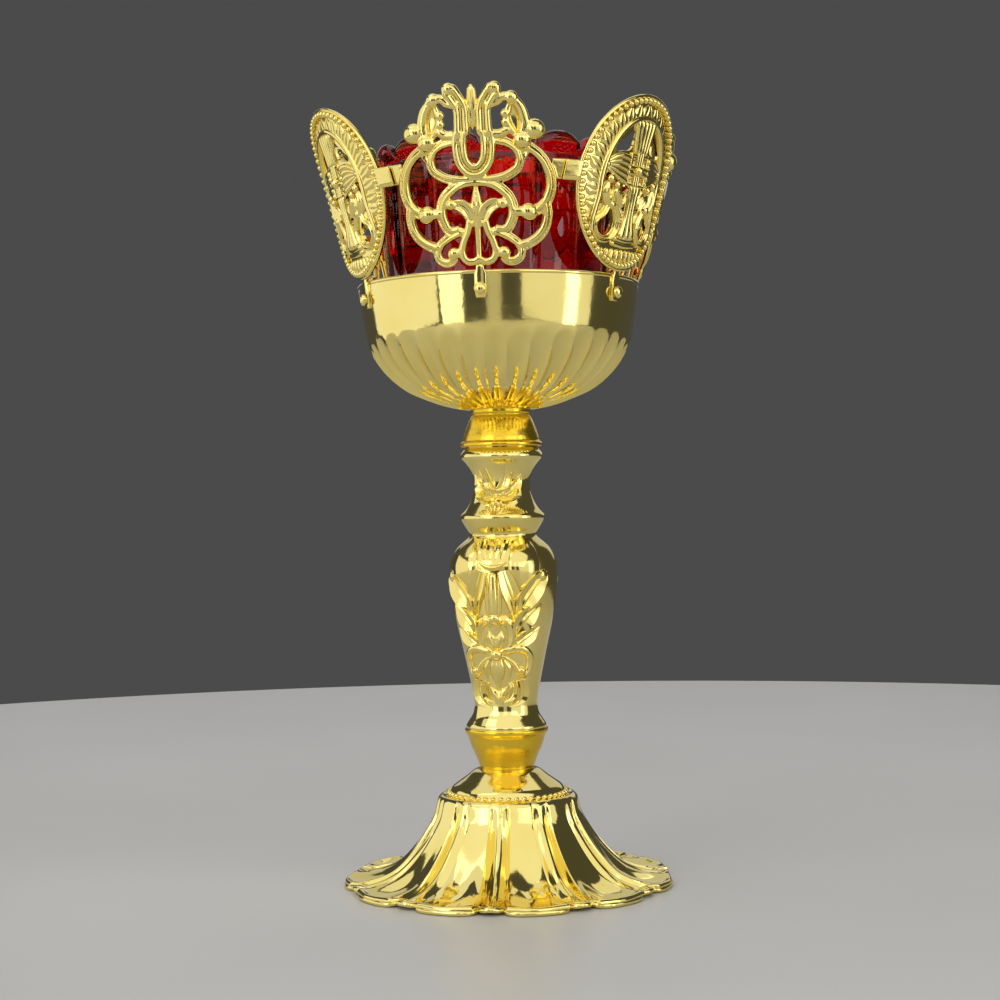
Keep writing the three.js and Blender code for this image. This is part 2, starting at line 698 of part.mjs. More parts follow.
function makeGlass() {
  const outside = glassOutside.map(([r, z], i) => glassRing(r, z, glassLobeShares[i], glassDropShares[i]));
  const crestRadius = glassOutside[glassOutside.length - 1][0];
  const inside = [
    glassRing(crestRadius - glassWall * 0.6, glassHeight - mouthDrop, 0.8, 1),
    glassRing(glassOutside[5][0] - glassWall - lobeDepth * 0.8, glassOutside[5][1], 0, 0),
    glassRing(glassOutside[3][0] - glassWall - lobeDepth * 0.5, glassOutside[3][1], 0, 0),
    glassRing(glassFootRadius - glassWall, glassFloor + floorRound * 0.7, 0, 0),
    glassRing(glassFootRadius - glassWall - floorRound, glassFloor, 0, 0),
  ];
  const under = [
    [[0, 0, glassBase + puntDepth]],
    glassRing(puntRadius, puntDepth, 0, 0),
    glassRing(puntRadius + puntDepth, 0, 0, 0),
  ];
  return skin([...under, ...outside, ...inside, [[0, 0, glassBase + glassFloor]]]);
}

// Tie rod, from its nut under the foot to its nut in the bowl
const footPlateUnder = footHeight - footSheet;
const bowlFloor = bowlBase + bowlSheet;
const rodBottom = footPlateUnder - washerThickness - nutHeight - rodOverhang;
const rodTop = bowlFloor + washerThickness + nutHeight + rodOverhang;

function makeNut(base) {
  const outside = new THREE.CylinderGeometry(nutRadius, nutRadius, nutHeight, 6);
  const boreRadius = rodRadius + threadGap;
  const bore = new THREE.CylinderGeometry(boreRadius, boreRadius, 2 * nutHeight, rodSteps);
  const nut = toGeometry(toSolid(outside).subtract(toSolid(bore)));
  nut.rotateX(Math.PI / 2);
  nut.translate(0, 0, base + nutHeight / 2);
  return nut;
}

function makeWasher(base) {
  return turnWithBore([[washerRadius, 0], [washerRadius, washerThickness]], rodHole, base);
}

function makeRod() {
  const rod = new THREE.CylinderGeometry(rodRadius, rodRadius, rodTop - rodBottom, rodSteps);
  rod.rotateX(Math.PI / 2);
  rod.translate(0, 0, (rodTop + rodBottom) / 2);
  return rod;
}

addPiece('foot', makeFoot(), gilded);
addPiece('lower_collar', turnWithBore(lowerCollarProfile, rodHole, lowerCollarBase), amberBrass);
addPiece('stem', makeStem(), gilded);
addPiece('upper_collar', turnWithBore(upperCollarProfile, rodHole, upperCollarBase), amberBrass);
addPiece('bowl', makeBowl(), gilded);
addPiece('tie_rod', makeRod(), plainSteel);
addPiece('foot_washer', makeWasher(footPlateUnder - washerThickness), plainSteel);
addPiece('foot_nut', makeNut(footPlateUnder - washerThickness - nutHeight), plainSteel);
addPiece('bowl_washer', makeWasher(bowlFloor), plainSteel);
addPiece('bowl_nut', makeNut(bowlFloor + washerThickness), plainSteel);

const scrollPanel = makePanel(addStraps(makeScrollPlate(), scrollHalfWidth, -1));
const medallion = makePanel(addStraps(makeMedallionPlate(), medallionHalfWidth, 1));
const rivet = makeRivet();
for (let k = 0; k < panelPairs; k += 1) {
  const scrollAzimuth = (k * 2 * Math.PI) / panelPairs;
  const medallionAzimuth = scrollAzimuth + Math.PI / panelPairs;
  addPiece(`scroll_panel_${k + 1}`, scrollPanel, gilded, scrollAzimuth);
  addPiece(`medallion_${k + 1}`, medallion, gilded, medallionAzimuth);
  addPiece(`rivet_${2 * k + 1}`, rivet, gilded, scrollAzimuth);
  addPiece(`rivet_${2 * k + 2}`, rivet, gilded, medallionAzimuth);
}

addPiece('glass_cup', makeGlass(), rubyGlass);

export default lamp;
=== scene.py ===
"""Looks for the gilded votive lamp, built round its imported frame.

Every piece is drawn in millimetres, with the lamp's front towards -Y, and settle() brings it to metres.
"""

import math

import bpy
from mathutils import Matrix, Vector


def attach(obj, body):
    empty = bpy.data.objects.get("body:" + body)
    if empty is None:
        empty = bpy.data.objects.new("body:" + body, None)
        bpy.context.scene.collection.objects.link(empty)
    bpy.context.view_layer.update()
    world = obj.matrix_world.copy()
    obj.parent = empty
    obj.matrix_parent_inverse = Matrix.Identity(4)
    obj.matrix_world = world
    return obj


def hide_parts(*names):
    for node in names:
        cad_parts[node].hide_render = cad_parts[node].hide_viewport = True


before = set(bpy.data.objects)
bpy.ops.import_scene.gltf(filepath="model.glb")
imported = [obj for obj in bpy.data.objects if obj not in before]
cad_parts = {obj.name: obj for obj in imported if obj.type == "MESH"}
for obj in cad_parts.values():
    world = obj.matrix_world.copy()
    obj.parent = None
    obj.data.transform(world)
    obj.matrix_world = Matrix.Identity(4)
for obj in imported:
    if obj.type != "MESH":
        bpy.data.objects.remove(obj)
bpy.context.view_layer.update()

MM = 0.001
MERGE = 0.002  # points nearer to each other than this become one, in millimetres
ROUND_STEPS = 96
SOFT_EDGE = 0.25  # how wide the edges of tongues and straps are rounded

# Heights where the stacked pieces stand
COLLAR_BASE = 33.0
STEM_BASE = 44.9
CONE_BASE = 125.8
BOWL_BASE = 136.4
RIM_HEIGHT = 172.4
GLASS_BASE = 141.6
ROD_HOLE = 2.8

# Foot. Shares are of the pitch from one bud to the next.
PETALS = 11
PETAL_RADIUS = 47.4
BUD_AT_HUB = 0.24  # half a bud's width
BUD_AT_RIM = 0.125
EDGE_SHARE = 0.05  # from the valley beside a bud to the petal's raised edge
FOOT_SHEET = 1.0
DOME_BEADS = 48
DOME_BEAD_RADIUS = 0.8
DOME_BEAD_RING = (17.0, 26.5)  # radius and height
RIM_ROLL = 1.7
ROLL_HEIGHT = 0.85
BUD_LIFT = 0.9  # how much higher the rolled edge lies at a bud's tip
BUD_LIFT_SHARE = 0.24  # how far from the tip the edge starts to rise
# round the rim from one bud's tip to the next: shares and radii
PETAL_RIM = [(0, 45.4), (0.06, 45.0), (0.105, 43.6), (0.13, 42.6), (0.155, 43.2), (0.19, 44.9), (0.27, 46.1),
             (0.38, 46.5), (0.5, 46.6), (0.62, 46.5), (0.73, 46.1), (0.81, 44.9), (0.845, 43.2), (0.87, 42.6),
             (0.895, 43.6), (0.94, 45.0)]

# Bowl
BOWL_RADIUS = 40.3
BOWL_SHEET = 0.9
BOWL_ROLL = 0.62  # radius of the rolled rim
BOWL_ROLL_INSET = 0.35
FLUTES = 36
FLUTE_DEPTH = 1.5
FLUTE_INWARDS = 0.75  # which way the flutes are pressed in
FLUTE_UPWARDS = 0.5
FLUTE_TOP = 19.6  # above the bowl's base
FLUTE_END = 3.6  # height of a flute's round top
FLUTE_TIP = 0.06  # width of its very tip, as a share of the pitch
FLUTE_FADE = 8.0  # how far below its top a flute reaches its full depth
FLUTE_START = 9.0  # radius where the flutes begin
FLUTE_RISE = 5.0  # how far outwards from there they reach their full depth

# Glass
LOBES = 14
LOBE_DEPTH = 1.5
LOBE_DROP = 4.5  # from a lobe's crest to the notch beside it
LOBE_STEPS = 14

# Crown
PANEL_PAIRS = 3
HALF_HEIGHT = 24.2
SCROLL_HALF_WIDTH = 21.9
OVAL_HALF_WIDTH = 21.6
OVAL_EGG = 0.08  # how much wider an oval is at its top
OVAL_BEADS = 68
OVAL_BEAD_RADIUS = 0.9
BORDER_LEAVES = 34
PLATE_DEPTH = 0.7
PLATE_FRONT = -0.15
PLATE_CUTS = 14  # cuts on either side of the plate's middle, so that it bends round the lamp
PLATE_CUT_PITCH = 1.5
CROWN_LEAN = math.radians(14.8)
CROWN_RADIUS = 47.38  # of the panels' middles
CROWN_HEIGHT = 196.33
BAR_WIDTH = 2.9
INNER_BAR_WIDTH = 1.9
VOXEL = 0.2  # how fine the scroll's bars are melted together
TONGUE_THICKNESS = 0.9
STRAP_LEVEL = 1.7  # above the panel's middle
STRAP_LENGTH = 5.2
STRAP_HEIGHT = 5.4
STRAP_THICKNESS = 0.8
STRAP_REACH = 1.8  # from the panel's edge to the middle of its strap
RIVET_HEIGHT = 167.2
RIVET_SEAT = 40.95  # radius where the heads begin

# The stem's relief faces a little to the left of the crown's front panel
STEM_TURN = math.radians(-5)

# Colours
BRIGHT_GOLD = (0.95, 0.80, 0.29)
DEEP_GOLD = (0.91, 0.74, 0.22)
DEEP_CAST_GOLD = (0.89, 0.71, 0.20)
BRIGHT_AMBER = (0.94, 0.66, 0.06)
DEEP_AMBER = (0.84, 0.53, 0.03)
BRIGHT_RUBY = (0.62, 0.0, 0.004)
DEEP_RUBY = (0.42, 0.0, 0.004)
BRIGHT_STEEL = (0.62, 0.62, 0.6)
DEEP_STEEL = (0.48, 0.48, 0.47)
BRIGHT_FLOOR = (0.66, 0.65, 0.63)
DEEP_FLOOR = (0.62, 0.61, 0.59)
ROOM_GREY = (0.07, 0.07, 0.07)
NOISE_LOW = 0.3  # most of a noise texture's values lie between these
NOISE_HIGH = 0.7

# Camera, in metres
CAMERA_AZIMUTH = math.radians(6.8)
CAMERA_REACH = 0.549
CAMERA_HEIGHT = 0.1104
CAMERA_ROLL = math.radians(-1.07)
LENS = 68.4
SHIFT = -0.0023

# Studio, in metres and watts
FLOOR_RADIUS = 0.6
LAMP_AIM = (0, 0, 0.12)
# name, place, size and power of each soft panel of light
LAMPS = [
    ("left_softbox", (-1.0, -1.6, 0.35), (0.66, 1.7), 5.6),
    ("left_screen", (-2.1, -0.3, 0.4), (3.4, 1.8), 17),
    ("front_top_panel", (0.0, -1.15, 1.2), (3.6, 2.0), 21),
    ("ceiling_panel", (-0.4, 0.4, 1.8), (3.0, 1.5), 11),
    ("centre_card", (0.1, -1.9, 0.3), (0.4, 1.6), 0.9),
    ("right_window", (1.55, -0.6, 0.3), (0.36, 1.3), 2.6),
    ("right_screen", (1.72, -1.12, 0.4), (2.6, 1.7), 11),
    ("back_softbox", (0.0, 2.0, 1.0), (2.2, 1.3), 4.5),
]


# Hand tools

def pick(*pieces):
    """Selects these pieces only, and makes the first one active."""
    bpy.ops.object.select_all(action="DESELECT")
    for piece in pieces:
        piece.select_set(True)
    bpy.context.view_layer.objects.active = pieces[0]


def edit(piece):
    """Opens a piece for editing, with all of it selected."""
    pick(piece)
    bpy.ops.object.mode_set(mode="EDIT")
    bpy.ops.mesh.select_all(action="SELECT")


def done():
    """Closes a piece that was opened for editing."""
    bpy.ops.object.mode_set(mode="OBJECT")


def close_up(piece):
    """Merges doubles and turns all faces outwards."""
    edit(piece)
    bpy.ops.mesh.remove_doubles(threshold=MERGE)
    bpy.ops.mesh.normals_make_consistent(inside=False)
    done()
    return piece


def apply(piece, kind, **settings):
    """Adds a modifier with these settings and applies it."""
    pick(piece)
    modifier = piece.modifiers.new(kind.title(), kind)
    for key, value in settings.items():
        setattr(modifier, key, value)
    bpy.ops.object.modifier_apply(modifier=modifier.name)
    return piece


def join(name, *pieces):
    """Makes one piece of several."""
    pick(*pieces)
    bpy.ops.object.join()
    pieces[0].name = name
    return pieces[0]


def reshape(piece, place):
    """Moves every point of a drawn piece to where place() says."""
    for vertex in piece.data.vertices:
        vertex.co = place(*vertex.co)
    return piece


def turn_copy(piece, name, angle):
    """A copy with its own mesh, turned about the lamp's axis."""
    pick(piece)
    bpy.ops.object.duplicate(linked=False)
    copy = bpy.context.object
    copy.name = name
    copy.rotation_euler = (0, 0, angle)
    bpy.ops.object.transform_apply(location=False, rotation=True, scale=False)
    return copy


def settle(piece, material, body, slot, *nodes, crease=50):
    """Brings a finished piece to metres and says what it is."""
    pick(piece)
    piece.scale = (MM, MM, MM)
    bpy.ops.object.transform_apply(location=True, rotation=True, scale=True)
    bpy.ops.object.shade_smooth_by_angle(angle=math.radians(crease))
    piece.data.materials.clear()
    piece.data.materials.append(material)
    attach(piece, body)
    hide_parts(*nodes)
    return piece


def smooth_line(points, steps):
    """More points along a smooth line through the given ones, of any dimension."""
    line = []
    last = len(points) - 1
    for i in range(last):
        before, start, end, after = (points[max(0, min(last, i + k))] for k in (-1, 0, 1, 2))
        for step in range(steps):
            t = step / steps
            line.append(tuple(
                0.5 * (2 * b + (c - a) * t + (2 * a - 5 * b + 4 * c - d) * t * t
                       + (3 * b - a - 3 * c + d) * t ** 3)
                for a, b, c, d in zip(before, start, end, after)
            ))
    line.append(tuple(points[-1]))
    return line


def on_circle(radius, angle, height):
    """A point round the lamp. The angle is from the front, and grows anticlockwise as seen from above."""
    return (radius * math.sin(angle), -radius * math.cos(angle), height)


def turned(name, profile, steps=ROUND_STEPS):
    """Spins a [radius, height] line about the lamp's axis."""
    mesh = bpy.data.meshes.new(name)
    points = [(0, -radius, height) for radius, height in profile]
    mesh.from_pydata(points, [(i, i + 1) for i in range(len(points) - 1)], [])
    piece = bpy.data.objects.new(name, mesh)
    bpy.context.scene.collection.objects.link(piece)
    edit(piece)
    bpy.ops.mesh.spin(steps=steps, angle=math.tau, center=(0, 0, 0), axis=(0, 0, 1))
    done()
    return close_up(piece)


def sheet(name, columns, rows, place):
    """A grid whose points lie where place(column, row) says."""
    bpy.ops.mesh.primitive_grid_add(x_subdivisions=columns - 1, y_subdivisions=rows - 1, size=1)
    piece = bpy.context.object
    piece.name = name
    for vertex in piece.data.vertices:
        row, column = divmod(vertex.index, columns)
        vertex.co = place(column, row)
    return piece


def lofted(name, sections, count):
    """One pitch of a round piece, as a sheet drawn through its sections, and then spun into copies.
    A section is a line of points, each [share of the pitch, radius, height]."""
    def place(column, row):
        share, radius, height = sections[column][row]
        return on_circle(radius, share * math.tau / count, height)

    piece = sheet(name, len(sections), len(sections[0]), place)
    edit(piece)
    whole = math.tau * (count - 1) / count
    bpy.ops.mesh.spin(steps=count - 1, angle=whole, dupli=True, center=(0, 0, 0), axis=(0, 0, 1))
    done()
    return close_up(piece)


# Flat drawings
END_REACH = 0.3  # how far a round end reaches, and how narrow it is, as shares of the strip's width
END_WIDTH = 0.35
LEAF_TIP = 0.12  # as a share of the leaf's width

# Sections of strips, as shares of their width: across, and out of the surface
ROUND_BAR = [(-0.36, -0.38), (-0.5, -0.2), (-0.5, 0.05), (-0.4, 0.27), (-0.2, 0.4), (0, 0.43),
             (0.2, 0.4), (0.4, 0.27), (0.5, 0.05), (0.5, -0.2), (0.36, -0.38)]
TWIN_BAR = [(-0.4, -0.32), (-0.5, -0.2), (-0.5, 0.08), (-0.42, 0.26), (-0.27, 0.33), (-0.12, 0.24),
            (0, 0.06), (0.12, 0.24), (0.27, 0.33), (0.42, 0.26), (0.5, 0.08), (0.5, -0.2), (0.4, -0.32)]
STEPPED_BAR = [(-0.42, -0.3), (-0.5, -0.16), (-0.5, 0.04), (-0.44, 0.12), (-0.34, 0.13), (-0.22, 0.04),
               (-0.12, 0.2), (0.06, 0.34), (0.24, 0.34), (0.4, 0.22), (0.5, 0.02), (0.5, -0.16), (0.42, -0.3)]
LEAF = [(-0.5, -0.3), (-0.48, 0.02), (-0.3, 0.2), (-0.1, 0.24), (0, 0.34), (0.1, 0.24), (0.3, 0.2),
        (0.48, 0.02), (0.5, -0.3)]
HOLLOW_LEAF = [(-0.5, -0.3), (-0.48, 0.1), (-0.4, 0.24), (-0.28, 0.16), (-0.1, 0.04), (0, 0.1), (0.1, 0.04),
               (0.28, 0.16), (0.4, 0.24), (0.48, 0.1), (0.5, -0.3)]
LOBE = [(-0.5, -0.15), (-0.49, 0.04), (-0.42, 0.1), (-0.2, 0.13), (0, 0.14), (0.2, 0.13), (0.42, 0.1),
        (0.49, 0.04), (0.5, -0.15)]
VEINED_LEAF = [(-0.5, -0.12), (-0.46, 0.0), (-0.28, 0.07), (-0.08, 0.09), (0, 0.03), (0.08, 0.09),
               (0.28, 0.07), (0.46, 0.0), (0.5, -0.12)]
PLATE = [(-0.5, -0.25), (-0.5, -0.12), (0.5, -0.12), (0.5, -0.25)]


def add_spline(curve, points, closed):
    """A smooth line through points, each [across, up, width]."""
    spline = curve.splines.new("BEZIER")
    spline.bezier_points.add(len(points) - 1)
    spline.use_cyclic_u = closed
    spline.radius_interpolation = "CARDINAL"
    for point, (across, up, width) in zip(spline.bezier_points, points):
        point.co = (across, up, 0)
        point.handle_left_type = "AUTO"
        point.handle_right_type = "AUTO"
        point.radius = width


def strips(name, section, runs, closed=False, steps=6):
    """Strips of one section along smooth lines, in the plane of a drawing that is looked at from its
    front. A run is the points of one line, each [across, up, width]."""
    outline = bpy.data.curves.new(name + "_section", "CURVE")
    outline.dimensions = "2D"
    spline = outline.splines.new("POLY")
    spline.points.add(len(section) - 1)
    for point, (x, y) in zip(spline.points, section):
        point.co = (x, y, 0, 1)
    spline.use_cyclic_u = True
    shape = bpy.data.objects.new(name + "_section", outline)
    bpy.context.scene.collection.objects.link(shape)

    bpy.ops.curve.primitive_bezier_curve_add()
    piece = bpy.context.object
    piece.name = name
    curve = piece.data
    curve.splines.clear()
    curve.twist_mode = "Z_UP"
    curve.bevel_mode = "OBJECT"
    curve.bevel_object = shape
    curve.use_fill_caps = True
    curve.resolution_u = steps
    for run in runs:
        add_spline(curve, run, closed)
    bpy.ops.object.convert(target="MESH")
    bpy.data.objects.remove(shape)
    return close_up(bpy.context.object)


def round_ends(run):
    """Adds a narrow last point beyond each end of a run, so that the strip ends round."""
    def beyond(end, inner):
        x, y, width = end
        back_x = x - inner[0]
        back_y = y - inner[1]
        reach = END_REACH * width / math.hypot(back_x, back_y)
        return (x + back_x * reach, y + back_y * reach, width * END_WIDTH)

    return [beyond(run[0], run[1]), *run, beyond(run[-1], run[-2])]


def leaf_run(points, width, tail=0.3):
    """A run that swells in its middle and comes to a point at its last end."""
    last = len(points) - 1
    shares = []
    for i in range(last):
        along = min(1, 0.2 + 0.85 * i / last)
        shares.append(tail + (1 - tail) * math.sin(math.pi * along))
    shares.append(LEAF_TIP)
    return [(x, y, width * share) for (x, y), share in zip(points, shares)]


def mirrored(runs):
    """The runs and their mirror images, which run the other way so that their section is mirrored too."""
    return [*runs, *([(-x, y, width) for x, y, width in reversed(run)] for run in runs)]


def ball(name, place, radius, squash=1.0, segments=16, rings=8):
    """A small round boss, drawn as part of a flat drawing."""
    bpy.ops.mesh.primitive_uv_sphere_add(segments=segments, ring_count=rings, radius=radius, location=place)
    piece = bpy.context.object
    piece.name = name
    piece.scale = (1, 1, squash)
    bpy.ops.object.transform_apply(location=True, rotation=True, scale=True)
    return piece


# Materials

def blank_material(name):
    """A new material with its nodes and links, its shader, and the coordinates of the piece it is on."""
    material = bpy.data.materials.new(name)
    material.use_nodes = True
    nodes = material.node_tree.nodes
    links = material.node_tree.links
    shader = nodes["Principled BSDF"]
    coordinates = nodes.new("ShaderNodeTexCoord")
    return material, nodes, links, shader, coordinates.outputs["Object"]


def noise(nodes, links, place, scale, detail=3.0):
    """Cloudy values, with this many clouds to the metre."""
    texture = nodes.new("ShaderNodeTexNoise")
    texture.inputs["Scale"].default_value = scale
    texture.inputs["Detail"].default_value = detail
    links.new(place, texture.inputs["Vector"])
    return texture.outputs["Fac"]


def spread(nodes, links, value, low, high):
    """Brings a noise value to the range low to high."""
    node = nodes.new("ShaderNodeMapRange")
    node.inputs["From Min"].default_value = NOISE_LOW
    node.inputs["From Max"].default_value = NOISE_HIGH
    node.inputs["To Min"].default_value = low
    node.inputs["To Max"].default_value = high
    links.new(value, node.inputs["Value"])
    return node.outputs["Result"]


def two_colours(nodes, links, value, first, second):
    """A colour that wanders between two with a noise value."""
    node = nodes.new("ShaderNodeMix")
    node.data_type = "RGBA"
    node.inputs["A"].default_value = (*first, 1)
    node.inputs["B"].default_value = (*second, 1)
    links.new(spread(nodes, links, value, 0, 1), node.inputs["Factor"])
    return node.outputs["Result"]


def bump(nodes, links, value, strength, distance, before=None):
    """A slight unevenness, on top of the one before."""
    node = nodes.new("ShaderNodeBump")
    node.inputs["Strength"].default_value = strength
    node.inputs["Distance"].default_value = distance
    links.new(value, node.inputs["Height"])
    if before is not None:
        links.new(before, node.inputs["Normal"])
    return node.outputs["Normal"]


def make_gold(name, bright, deep, smooth, dull, unevenness):
    """Bright plate: its colour and gloss wander a little, and the metal under it isn't quite even."""
    material, nodes, links, shader, place = blank_material(name)
    shader.inputs["Metallic"].default_value = 1.0
    clouds = noise(nodes, links, place, 60.0, 4.0)
    grain = noise(nodes, links, place, 900.0, 2.0)
    waves = noise(nodes, links, place, 260.0, 2.0)
    links.new(two_colours(nodes, links, clouds, bright, deep), shader.inputs["Base Color"])
    links.new(spread(nodes, links, clouds, smooth, dull), shader.inputs["Roughness"])
    uneven = bump(nodes, links, waves, unevenness, 0.0004)
    links.new(bump(nodes, links, grain, unevenness * 0.5, 0.0001, uneven), shader.inputs["Normal"])
    return material


def make_ruby():
    """Clear red glass whose surface is a little wavy."""
    material, nodes, links, shader, place = blank_material("ruby_glass")
    shader.inputs["Transmission Weight"].default_value = 1.0
    shader.inputs["IOR"].default_value = 1.5
    streaks = noise(nodes, links, place, 40.0)
    waves = noise(nodes, links, place, 120.0, 2.0)
    links.new(two_colours(nodes, links, streaks, BRIGHT_RUBY, DEEP_RUBY), shader.inputs["Base Color"])
    links.new(spread(nodes, links, streaks, 0.01, 0.04), shader.inputs["Roughness"])
    links.new(bump(nodes, links, waves, 0.05, 0.0006), shader.inputs["Normal"])
    return material


def make_steel():
    """Dull grey steel for the hidden rod and its nuts."""
    material, nodes, links, shader, place = blank_material("plain_steel")
    shader.inputs["Metallic"].default_value = 1.0
    spots = noise(nodes, links, place, 500.0, 4.0)
    links.new(two_colours(nodes, links, spots, BRIGHT_STEEL, DEEP_STEEL), shader.inputs["Base Color"])
    links.new(spread(nodes, links, spots, 0.28, 0.45), shader.inputs["Roughness"])
    return material


gilded = make_gold("gilded", BRIGHT_GOLD, DEEP_GOLD, smooth=0.06, dull=0.13, unevenness=0.10)
cast_gold = make_gold("cast_gold", BRIGHT_GOLD, DEEP_CAST_GOLD, smooth=0.07, dull=0.15, unevenness=0.10)
amber = make_gold("amber_brass", BRIGHT_AMBER, DEEP_AMBER, smooth=0.16, dull=0.30, unevenness=0.5)
ruby = make_ruby()
steel = make_steel()


# Foot

def foot_lines():
    """Lines down the foot through a bud, a valley, a petal's edge and its middle, point for point."""
    dome = [(ROD_HOLE, 33.0), (7.6, 33.0), (9.4, 32.8), (11.6, 31.1), (13.9, 29.5), (15.9, 28.0),
            (16.9, 26.2), (17.8, 25.6), (18.6, 25.9), (19.4, 25.7)]
    middle = [*dome, (20.2, 24.7), (20.7, 22.8), (21.4, 20.2), (23.4, 16.4), (26.2, 11.9), (29.0, 7.9),
              (31.6, 4.9), (34.2, 2.9), (37.6, 1.7), (41.6, 1.3), (44.6, 1.4), (45.9, 2.0), (46.7, 2.4),
              (47.3, 1.9), (47.4, 1.3)]
    edge = [*dome, (20.2, 24.7), (20.7, 22.8), (21.4, 20.2), (23.5, 16.5), (26.4, 12.2), (29.4, 8.6),
            (32.2, 6.0), (34.8, 4.4), (38.0, 3.3), (41.4, 2.7), (43.8, 2.5), (45.0, 2.6), (45.8, 2.6),
            (46.4, 2.1), (46.5, 1.5)]
    valley = [*dome, (19.9, 24.6), (20.1, 22.6), (20.6, 20.0), (22.3, 15.8), (25.0, 11.1), (27.9, 7.1),
              (30.8, 4.4), (33.4, 2.8), (36.2, 1.7), (39.0, 1.2), (40.8, 1.3), (41.8, 1.8), (42.5, 2.1),
              (43.0, 1.8), (43.2, 1.2)]
    bud = [*dome, (20.2, 24.7), (20.7, 22.8), (21.4, 20.2), (23.4, 16.5), (26.3, 12.2), (29.4, 8.6),
           (32.4, 6.0), (35.2, 4.4), (38.4, 3.2), (41.4, 2.6), (43.4, 2.3), (44.4, 2.5), (45.2, 2.7),
           (45.8, 2.2), (45.9, 1.5)]
    lines = {"bud": bud, "valley": valley, "edge": edge, "middle": middle}
    return {name: smooth_line(line, 3) for name, line in lines.items()}


def foot_station(name, radius):
    """A line's share of the pitch. Buds are wider on the bell than at the rim."""
    if name == "bud":
        return 0
    if name == "middle":
        return 0.5
    valley = BUD_AT_HUB + (BUD_AT_RIM - BUD_AT_HUB) * radius / PETAL_RADIUS
    return valley if name == "valley" else valley + EDGE_SHARE


def wave(share):
    """An even swing from 0 to 1."""
    return 0.5 - 0.5 * math.cos(math.pi * share)


def onto_rim(x, y, out):
    """Lifts the rolled edge over the buds, which stand a little higher than the petals."""
    share = (math.atan2(x, -y) / math.tau * PETALS) % 1
    from_bud = min(share, 1 - share)
    lift = BUD_LIFT * wave(max(0.0, 1 - from_bud / BUD_LIFT_SHARE))
    return x, y, ROLL_HEIGHT + lift + out


def foot_sections():
    """Sections across one pitch, from a bud through a petal to the next bud."""
    lines = foot_lines()
    half = []
    for first, second, steps in (
        ("bud", "valley", [0, 0.25, 0.45, 0.65, 0.85]),
        ("valley", "edge", [0, 0.35, 0.7]),
        ("edge", "middle", [0, 0.12, 0.26, 0.45, 0.7, 1]),
    ):
        for t in steps:
            section = []
            for (r1, z1), (r2, z2) in zip(lines[first], lines[second]):
                share = foot_station(first, r1) * (1 - t) + foot_station(second, r2) * t
                section.append((share, r1 + (r2 - r1) * wave(t), z1 + (z2 - z1) * wave(t)))
            half.append(section)
    other_half = []
    for section in reversed(half[:-1]):
        other_half.append([(1 - share, radius, height) for share, radius, height in section])
    return [*half, *other_half]


def make_foot():
    """The pressed bell with its rolled edge, and a ring of beads round its dome."""
    shell = lofted("foot_shell", foot_sections(), PETALS)
    apply(shell, "SOLIDIFY", thickness=FOOT_SHEET, offset=-1.0, use_even_offset=False)
    rim = []
    for k in range(PETALS):
        for share, radius in PETAL_RIM:
            x, y, _ = on_circle(radius, (k + share) * math.tau / PETALS, 0)
            rim.append((x, y, RIM_ROLL))
    roll = reshape(strips("foot_roll", ROUND_BAR, [rim], closed=True, steps=5), onto_rim)
    ring_radius, ring_height = DOME_BEAD_RING
    beads = []
    for k in range(DOME_BEADS):
        angle = k * math.tau / DOME_BEADS
        bead = ball("bead", (0, 0, 0), DOME_BEAD_RADIUS, 0.8, 8, 6)
        bead.location = on_circle(ring_radius, angle, ring_height)
        bead.rotation_euler = (0, 0, angle)
        beads.append(bead)
    pick(*beads)
    bpy.ops.object.transform_apply(location=True, rotation=True, scale=True)
    return join("gilded_foot", shell, roll, *beads)


# Collars and stem, as lines of [radius, height] from the bottom up

CUP_COLLAR = [(7.8, 0), (7.8, 0.5), (8.0, 1.2), (8.6, 3.0), (9.3, 4.6), (10.1, 6.3), (10.7, 8.0), (11.1, 9.4),
              (11.5, 10.2), (11.9, 10.6), (12.0, 11.0), (12.0, 11.5), (11.8, 11.9)]
CONE_COLLAR = [(11.7, 0), (11.9, 0.3), (11.9, 0.9), (11.6, 1.3), (11.2, 1.6), (11.0, 2.6), (10.5, 4.2),
               (9.9, 5.8), (9.3, 7.4), (8.8, 8.4), (8.4, 8.9), (8.3, 9.3), (8.6, 9.8), (8.6, 10.6)]
STEM_LINE = [(11.5, 0), (11.5, 0.9), (10.7, 2.2), (9.5, 4.2), (9.1, 6.9), (9.5, 10.0), (10.2, 13.9),
             (12.1, 22.8), (14.2, 31.7), (15.2, 38.5), (15.6, 44.5), (15.3, 48.0), (13.8, 51.3),
             (12.0, 53.2), (10.1, 54.8), (9.8, 56.0), (10.9, 57.8), (12.1, 59.8), (12.3, 60.6),
             (12.0, 61.4), (10.6, 62.9), (9.2, 65.3), (8.2, 68.8), (8.3, 71.6), (9.3, 74.3), (10.6, 76.2),
             (11.7, 77.4), (12.0, 78.2), (11.6, 79.2), (10.6, 80.4), (10.4, 80.9)]
stem_line = smooth_line(STEM_LINE, 4)


def turned_with_bore(name, line, base):
    """A turned piece with a hole for the tie rod."""
    low = line[0][1]
    high = line[-1][1]
    outline = [(ROD_HOLE, low), *line, (ROD_HOLE, high), (ROD_HOLE, low)]
    return turned(name, [(radius, height + base) for radius, height in outline])


def stem_radius(height):
    """The stem's radius at a height above its base."""
    for (r0, z0), (r1, z1) in zip(stem_line, stem_line[1:]):
        if z0 <= height <= z1 and z1 > z0:
            return r0 + (r1 - r0) * (height - z0) / (z1 - z0)
    return stem_line[-1][0]


